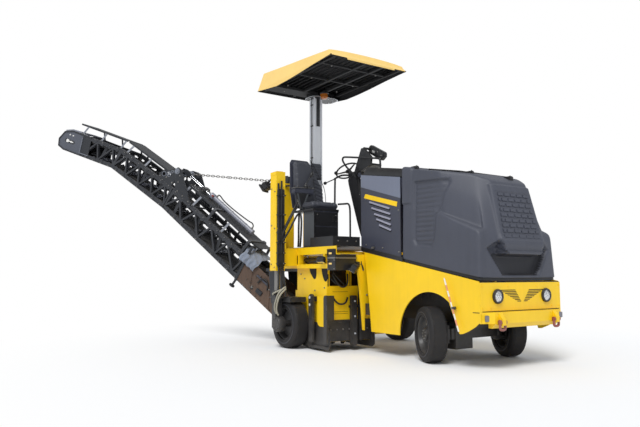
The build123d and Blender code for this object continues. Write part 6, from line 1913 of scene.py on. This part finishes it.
# %% Plates with holes
def pierced(bench, outline, holes, n0, n1, slot=0):
    """A plate in the conveyor's plane with round holes through it."""
    curve = bpy.data.curves.new("pierced", "CURVE")
    curve.dimensions, curve.fill_mode, curve.extrude = "2D", "BOTH", abs(n1 - n0) / 2
    runs = [outline] + [[(s + r * math.cos(2 * math.pi * k / 32), z + r * math.sin(2 * math.pi * k / 32))
                         for k in range(32)] for s, z, r in holes]
    for run in runs:
        spline = curve.splines.new("POLY")
        spline.points.add(len(run) - 1)
        for point, (s, z) in zip(spline.points, run):
            point.co = (s, z, 0, 1)
        spline.use_cyclic_u = True
    flat = bpy.data.objects.new("pierced", curve)
    mesh = bpy.data.meshes.new_from_object(flat)
    bit = bmesh.new()
    bit.from_mesh(mesh)
    for vertex in bit.verts:
        vertex.co = at_boom(vertex.co.x, vertex.co.y, (n0 + n1) / 2 + vertex.co.z)
    bmesh.ops.remove_doubles(bit, verts=list(bit.verts), dist=0.00001)
    bench.take(bit, slot)
    bpy.data.objects.remove(flat)
    bpy.data.curves.remove(curve)


print("pierced plates can be made")

# %% Fold bracket
knuckle = Bench()
fan = [(1.600, 2.405), (1.652, 2.462), (1.712, 2.440), (1.770, 2.432), (1.835, 2.426), (1.915, 2.438),
       (1.985, 2.405), (2.012, 2.345), (1.960, 2.300), (1.780, 2.190)]
holes = [(1.905, 2.382, 0.030), (1.818, 2.372, 0.034), (1.752, 2.402, 0.014)]
for side in (-1, 1):
    n0 = side * 0.2505
    pierced(knuckle, fan, holes, n0, n0 + side * 0.006)
    for s, z, r in holes:
        knuckle.turned([(0.0, r), (0.0, r + 0.008), (0.004, r + 0.007), (0.004, r)],
                       at_boom(s, z, n0 + side * 0.006), boom_across * side, 1, 32)
    for s, z in ((1.975, 2.360), (1.860, 2.330), (1.760, 2.240), (1.655, 2.440), (1.690, 2.390)):
        knuckle.bolt(at_boom(s, z, n0 + side * 0.006), boom_across * side, 0.010, 2)
knuckle.done("fold_bracket_head", [cover_black, hoop_grey, bare_steel], "boom_head")

root = Bench()
for side in (-1, 1):
    n0 = side * 0.2655
    boom_plate(root, [(1.425, 1.900), (1.690, 2.120), (1.700, 2.418), (1.660, 2.450), (1.605, 2.425),
                      (1.560, 2.250)], n0, n0 + side * 0.004, 0, 0.001)
    root.turned([(0, 0), (0, 0.044), (0.010, 0.044), (0.014, 0.030), (0.024, 0.028), (0.026, 0)],
                at_boom(1.660, 2.400, n0), boom_across * side, 1, 32)
    for s, z in ((1.460, 1.945), (1.560, 2.030), (1.650, 2.110), (1.640, 2.240), (1.610, 2.330)):
        root.bolt(at_boom(s, z, n0 + side * 0.004), boom_across * side, 0.009, 2)
root.turned([(-0.100, 0), (-0.100, 0.052), (-0.072, 0.056), (-0.068, 0.034), (0.068, 0.034), (0.072, 0.056),
             (0.100, 0.052), (0.100, 0)], at_boom(1.660, 2.400, 0), boom_across, 1, 32)
for side in (-1, 1):
    boom_plate(root, [(1.560, 2.330), (1.700, 2.440), (1.660, 2.468), (1.580, 2.440), (1.500, 2.350)],
               side * 0.110, side * 0.122, 0, 0.003)
root.done("fold_bracket_base", [cover_black, hoop_grey, bare_steel], "boom_base")

# %% Lift cylinder and crosshead
lift_run = Vector((1.740 + 0.200, 2.163 - 0.584)).normalized()
lift_up = Vector((-lift_run.y, lift_run.x))
pin = Vector((1.660, 2.400))


def on_lift(distance, height=0.0):
    p = pin - lift_run * distance + lift_up * height
    return p.x, p.y


lift_way, lift_rise = boom_way(lift_run), boom_way(lift_up)
ram = Bench()
for distance, radius, length in ((1.452, 0.040, 0.030), (1.300, 0.039, 0.030), (1.000, 0.039, 0.022),
                                 (0.780, 0.039, 0.022), (0.610, 0.0475, 0.072)):
    ram.turned([(0, 0.034), (0, radius - 0.003), (0.003, radius), (length - 0.003, radius),
                (length, radius - 0.003), (length, 0.034)], at_boom(*on_lift(distance)), lift_way, 0, 32)
for k in range(6):
    t = 2 * math.pi * k / 6
    offset = boom_across * (0.037 * math.cos(t)) + lift_rise * (0.037 * math.sin(t))
    ram.bolt(at_boom(*on_lift(0.539)) + offset, lift_way, 0.0065, 1)
for distance in (1.400, 0.640):
    ram.turned([(0, 0), (0, 0.015), (0.020, 0.014), (0.020, 0.010), (0.034, 0.010), (0.034, 0)],
               at_boom(*on_lift(distance, 0.036)), lift_rise, 1, 6)
ram.turned([(0, 0), (0, 0.016), (0.018, 0.014), (0.020, 0)], at_boom(*on_lift(0.600, 0.020), -0.045),
           -boom_across, 2, 20)
ram.done("lift_cylinder_fittings", [barrel_grey, bare_steel, red_paint], "boom_base")
hose("lift_hoses", [
    [at_boom(*on_lift(1.400, 0.072)), at_boom(*on_lift(1.370, 0.105)), at_boom(*on_lift(1.30, 0.085)),
     at_boom(*on_lift(1.0, 0.058), 0.01), at_boom(*on_lift(0.75, 0.056), 0.012),
     at_boom(*on_lift(0.66, 0.085), 0.01),
     at_boom(*on_lift(0.640, 0.072))],
], 0.009, hose_rubber, "boom_base")

slide = Bench()
for side in (-1, 1):
    slide.turned([(-0.045, 0.0098), (-0.045, 0.020), (-0.038, 0.023), (0.038, 0.023), (0.045, 0.020),
                  (0.045, 0.0098)], at_boom(*on_lift(0.410), side * 0.042), lift_way, 0, 24)
    for h in (-0.018, 0.018):
        slide.bolt(at_boom(*on_lift(0.410, h), side * 0.062), boom_across * side, 0.008, 1)
slide.turned([(0, 0.016), (0, 0.026), (0.016, 0.026), (0.018, 0.016)], at_boom(*on_lift(0.460)),
             lift_way, 1, 6)
slide.done("crosshead_fittings", [cover_black, bare_steel], "crosshead")

# %% Chain links
def links(name, start, finish, body, stood, first):
    """A run of oval links, each turned a quarter from the last."""
    way = finish - start
    length, pitch = way.length, 0.044
    way.normalize()
    side = way.orthogonal().normalized()
    count = int(length / pitch)
    mesh = bmesh.new()
    for k in range(count):
        middle = start + way * (pitch * (k + 0.5) + (length - count * pitch) / 2)
        turn = math.radians(45 + 90 * ((k + first) % 2))
        across_link = side * math.cos(turn) + way.cross(side) * math.sin(turn)
        third = way.cross(across_link)
        loops = []
        for m in range(12):
            t = 2 * math.pi * m / 12
            along_link = 0.0205 * math.cos(t) + math.copysign(0.009, math.cos(t))
            centre = middle + way * along_link + across_link * (0.0135 * math.sin(t))
            outward = way * math.cos(t) + across_link * math.sin(t)
            loops.append([mesh.verts.new(centre + outward * (0.0048 * math.cos(a))
                                         + third * (0.0048 * math.sin(a)))
                          for a in [2 * math.pi * q / 6 for q in range(6)]])
        for one, two in zip(loops, loops[1:] + loops[:1]):
            for q in range(6):
                r = (q + 1) % 6
                mesh.faces.new((one[q], one[r], two[r], two[q]))
    bmesh.ops.recalc_face_normals(mesh, faces=list(mesh.faces))
    return settle(name, harden(name, mesh), [bare_steel], body, stood, 60)


print("links can be made")

# %% Stay chain
chain_low, chain_high = at_boom(0.190, 2.200), at_boom(1.660, 2.400)
middle = chain_low.lerp(chain_high, 0.5)
links("chain_links_mast", chain_low.lerp(chain_high, 0.03), middle + (chain_high - chain_low).normalized()
      * 0.03, "chain_mast_half", ["chain_mast_half"], 0)
links("chain_links_boom", middle - (chain_high - chain_low).normalized() * 0.01,
      chain_low.lerp(chain_high, 0.965), "chain_boom_half", ["chain_boom_half"], 1)

# %% [markdown]
# The lower end is a rusty closed box: brown paint worn through, a cross frame of angle with a
# round foot, stiffeners, a bearing and odd fittings.  A small grey tarpaulin is draped over it.

# %% Lower housing
tub = Bench()
for side in (-1, 1):
    n0 = side * 0.2503
    boom_plate(tub, [(0.430, 0.655), (0.655, 0.842), (0.462, 1.110), (0.375, 1.045)], n0,
               n0 + side * 0.005, 0, 0.001)
    for k in range(9):
        s, z = cross(0, 0.02 + 0.034 * k, 0.06)
        tub.bolt(at_boom(s, z, n0 + side * 0.001), boom_across * side, 0.009, 3)
    for s, z in ((0.330, 0.860), (0.260, 0.870), (0.300, 0.800), (0.420, 0.790), (0.130, 0.690),
                 (0.060, 0.760), (0.480, 0.830)):
        tub.bolt(at_boom(s, z, n0 + side * 0.001), boom_across * side, 0.011, 3 if s > 0.2 else 2)
    boom_plate(tub, [(0.310, 0.895), (0.150, 0.762), (0.165, 0.744), (0.325, 0.877)], n0,
               n0 + side * 0.016, 4, 0.003)
    boom_plate(tub, [(0.345, 0.665), (0.262, 0.600), (0.225, 0.650), (0.308, 0.715)], n0,
               n0 + side * 0.020, 1, 0.006)
    tub.bolt(at_boom(0.395, 0.725, n0 + side * 0.001), boom_across * side, 0.015, 2)
    boom_plate(tub, [(0.440, 0.720), (0.400, 0.688), (0.388, 0.704), (0.428, 0.736)], n0,
               n0 + side * 0.006, 1, 0.002)
    for share in (0.02, 0.16):
        (a, b), (c, d) = cross(0, share, 0.02), cross(0, share, 0.98)
        boom_plate(tub, [(a, b), (a + 0.026, b + 0.020), (c + 0.026, d + 0.020), (c, d)], n0,
                   n0 + side * 0.008, 0, 0.002)
    boom_plate(tub, [(0.645, 0.806), (0.676, 0.828), (0.402, 1.290), (0.372, 1.270)], n0,
               n0 + side * 0.016, 1, 0.003)
for share in (0.290, 0.395):
    along, up = rise_from(0)
    foot = Vector(cross(0, share, 1.0))
    for (na, ha), (nb, hb) in (((-0.246, 0.0), (-0.160, 0.096)), ((-0.160, 0.096), (0.160, 0.090)),
                               ((0.160, 0.090), (0.246, 0.0))):
        p, q = foot + up * ha, foot + up * hb
        tub.bar(at_boom(p.x, p.y, na), at_boom(q.x, q.y, nb), 0.008, 1, 12)
boom_plate(tub, [(0.645, 0.806), (0.676, 0.828), (0.664, 0.848), (0.633, 0.826)], -0.264, 0.264, 1, 0.003)
boom_plate(tub, [(0.414, 1.270), (0.384, 1.250), (0.372, 1.270), (0.402, 1.290)], -0.264, 0.264, 1, 0.003)
down = (boom_out * 0.62 + Vector((0, 0, -0.78))).normalized()
for side in (-1, 1):
    foot = at_boom(0.660, 0.817, side * 0.250)
    tub.bar(foot, foot + down * 0.085, 0.016, 1)
    tub.turned([(0, 0), (0, 0.022), (0.008, 0.040), (0.024, 0.042), (0.030, 0.034), (0.030, 0)],
               foot + down * 0.075, down, 1, 32)
    tub.turned([(0, 0), (0, 0.055), (0.008, 0.055), (0.012, 0.040), (0.020, 0.038), (0.020, 0)],
               at_boom(0.0, 0.550, side * 0.268), boom_across * side, 2, 32)
rusty = coat("rusty_brown", (0.085, 0.052, 0.036), 0.62, drift=0.35, runs=0.8, bare=(0.22, 0.085, 0.035),
             wear=0.8, dust=(0.16, 0.12, 0.09), near_ground=0.5)
tub.done("lower_housing_details", [rusty, cover_black, bare_steel, rust_steel, slate_panel], "boom_base")
hose("tail_hoses", [
    [at_boom(0.30, 0.78, -0.266), at_boom(0.24, 0.84, -0.272), at_boom(0.16, 0.82, -0.273),
     at_boom(0.13, 0.74, -0.272),
     at_boom(0.16, 0.68, -0.266)],
], 0.010, hose_rubber, "boom_base")
for node, finish in (("base_housing", rusty), ("lift_cylinder", barrel_grey)):
    for slot in bpy.data.objects[node].material_slots:
        slot.material = finish

# %% Tarpaulin over the tail
wide = 0.30
fold_mesh = bmesh.new()
columns, rows_count = 40, 44
grid = []
along0, up0 = rise_from(0)
sheet_start = Vector(cross(0, 0.262, 1.0))
corners = [(0.130, 0.104), (-0.165, 0.116), (-0.262, 0.030), (-0.276, -0.090)]
lengths = [math.dist(a, b) for a, b in zip(corners, corners[1:])]
stretch = sum(lengths)
for i in range(columns + 1):
    line = []
    for j in range(rows_count + 1):
        walk = stretch * j / rows_count
        for (a, b), length in zip(zip(corners, corners[1:]), lengths):
            if walk <= length + 1e-9:
                break
            walk -= length
        n, height = (a[k] + (b[k] - a[k]) * walk / length for k in (0, 1))
        low = step(0.14, -0.10, height)
        wave = math.sin(i * 0.62 + 0.10 * j) * 0.012 + math.sin(i * 0.23 + 1.3) * 0.012
        sag = -0.010 * math.sin(math.pi * i / columns) * (1 - low) + 0.006 * math.sin(j * 0.7 + i * 0.33)
        p = sheet_start + along0 * (wide * i / columns
                                    + 0.012 * math.sin(j * 0.5)) + up0 * (height + sag + 0.004)
        line.append(fold_mesh.verts.new(at_boom(p.x, p.y, n - 0.010 * low - wave * low - 0.006)))
    grid.append(line)
for a, b in zip(grid, grid[1:]):
    for j in range(rows_count):
        fold_mesh.faces.new((a[j], a[j + 1], b[j + 1], b[j]))
bmesh.ops.smooth_vert(fold_mesh, verts=list(fold_mesh.verts), factor=0.5, use_axis_x=True, use_axis_y=True,
                      use_axis_z=True)
flat_area = sum(face.calc_area() for face in fold_mesh.faces)
tail_sheet = settle("tail_sheet", harden("tail_sheet", fold_mesh), [grey_canvas], "boom_base", (), 80)
thick = tail_sheet.modifiers.new("thick", "SOLIDIFY")
thick.thickness = 0.003
thick.offset = 0
print("sheet", round(flat_area, 3))

# %% [markdown]
# ## Under the hood and at the corners
# The engine stays one block in the construction, and here it gets its covers, so an open hood
# shows a machine.  The mast gets two bearing rings and bolts, and the front knuckles their pins.

# %% Engine covers
motor = Bench()
low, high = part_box("engine_block")
cx = (low[0] + high[0]) / 2
motor.slab((low[0] + 0.10, -0.13, high[2] + 0.0002), (high[0] - 0.10, 0.13, high[2] + 0.055), 0, 0.016)
for k in range(4):
    x = low[0] + 0.17 + k * 0.15
    motor.slab((x, -0.10, high[2] + 0.055), (x + 0.09, 0.10, high[2] + 0.075), 0, 0.010)
    motor.bolt((x + 0.045, 0.0, high[2] + 0.075), (0, 0, 1), 0.010, 1)
    motor.bar((x + 0.045, -0.33, 1.30), (x + 0.045, -0.372, 1.262), 0.024, 2)
    motor.bar((x + 0.045, 0.33, 1.33), (x + 0.045, 0.372, 1.31), 0.024, 1)
motor.bar((low[0] + 0.12, -0.385, 1.250), (high[0] - 0.10, -0.385, 1.250), 0.036, 2)
motor.bar((low[0] + 0.12, 0.385, 1.305), (high[0] - 0.10, 0.385, 1.305), 0.038, 1)
motor.turned([(0, 0), (0, 0.10), (0.015, 0.11), (0.050, 0.11), (0.060, 0.09), (0.060, 0)],
             (high[0] - 0.12, -0.33, 0.95), (0, -1, 0), 2, 32)
motor.turned([(0, 0), (0, 0.055), (0.14, 0.055), (0.15, 0.045), (0.15, 0)], (cx, -0.385, 0.72),
             (0, 0, 1), 3, 32)
for y, z, r in ((0.0, 0.80, 0.11), (-0.16, 1.10, 0.06), (0.14, 1.12, 0.07), (0.0, 1.28, 0.09)):
    motor.turned([(0, 0), (0, r), (0.008, r), (0.014, r - 0.012), (0.026, r - 0.012), (0.032, r), (0.040, r),
                  (0.040, 0)], (high[0], y, z), (1, 0, 0), 1, 36)
for k in range(10):
    motor.slab((low[0] + 0.05 + 0.07 * k, -0.334, 0.62), (low[0] + 0.066 + 0.07 * k, -0.3298, 1.12), 0, 0.002)
    motor.slab((low[0] + 0.05 + 0.07 * k, 0.3298, 0.62), (low[0] + 0.066 + 0.07 * k, 0.334, 1.12), 0, 0.002)
motor.done("engine_covers", [engine_iron, bare_steel, rust_steel, black_paint], "machine", (), 35)
hose("engine_hoses", [
    [(high[0] - 0.02, -0.18, 1.50), (high[0] + 0.04, -0.20, 1.52), (high[0] + 0.10, -0.22, 1.44),
     (high[0] + 0.10, -0.24, 1.25)],
    [(low[0] + 0.20, 0.33, 0.90), (low[0] + 0.24, 0.41, 0.92), (low[0] + 0.40, 0.42, 1.00),
     (low[0] + 0.52, 0.40, 1.20),
     (low[0] + 0.55, 0.385, 1.29)],
], 0.020, hose_rubber, "machine")

# %% Mast and knuckles
turret = Bench()
for z, r in ((1.230, 0.128), (2.100, 0.124)):
    turret.turned([(0, 0.100), (0, r), (0.018, r), (0.022, r - 0.006), (0.022, 0.100)],
                  (mast_at.x, mast_at.y, z), (0, 0, 1), 0, 40)
for k in range(10):
    t = 2 * math.pi * k / 10
    turret.bolt(mast_at + Vector((0.118 * math.cos(t), 0.118 * math.sin(t), 1.252)), (0, 0, 1), 0.007, 1)
turret.done("mast_rings", [black_paint, bare_steel], "machine")
for side, name in ((-1, "right"), (1, "left")):
    low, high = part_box("knuckle_" + name)
    pin_x = (low[0] + high[0]) / 2
    kit = Bench()
    inner = low[1] if side > 0 else high[1]
    for z in (high[2] - 0.004, low[2] - 0.008):
        kit.turned([(0, 0), (0, 0.030), (0.006, 0.034), (0.010, 0.030), (0.012, 0.018), (0.012, 0)],
                   (pin_x, inner + side * 0.045, z), (0, 0, 1), 0, 28)
    for k in range(3):
        kit.bolt((pin_x - 0.04 + 0.04 * k, inner + side * 0.100, high[2] - 0.001), (0, 0, 1), 0.006, 0)
    kit.done("knuckle_pins_" + name, [bare_steel], "knuckle_" + name)

# %% Measure the visual box and finish
low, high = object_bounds()
print("visual box", [[round(v, 3) for v in low], [round(v, 3) for v in high]])
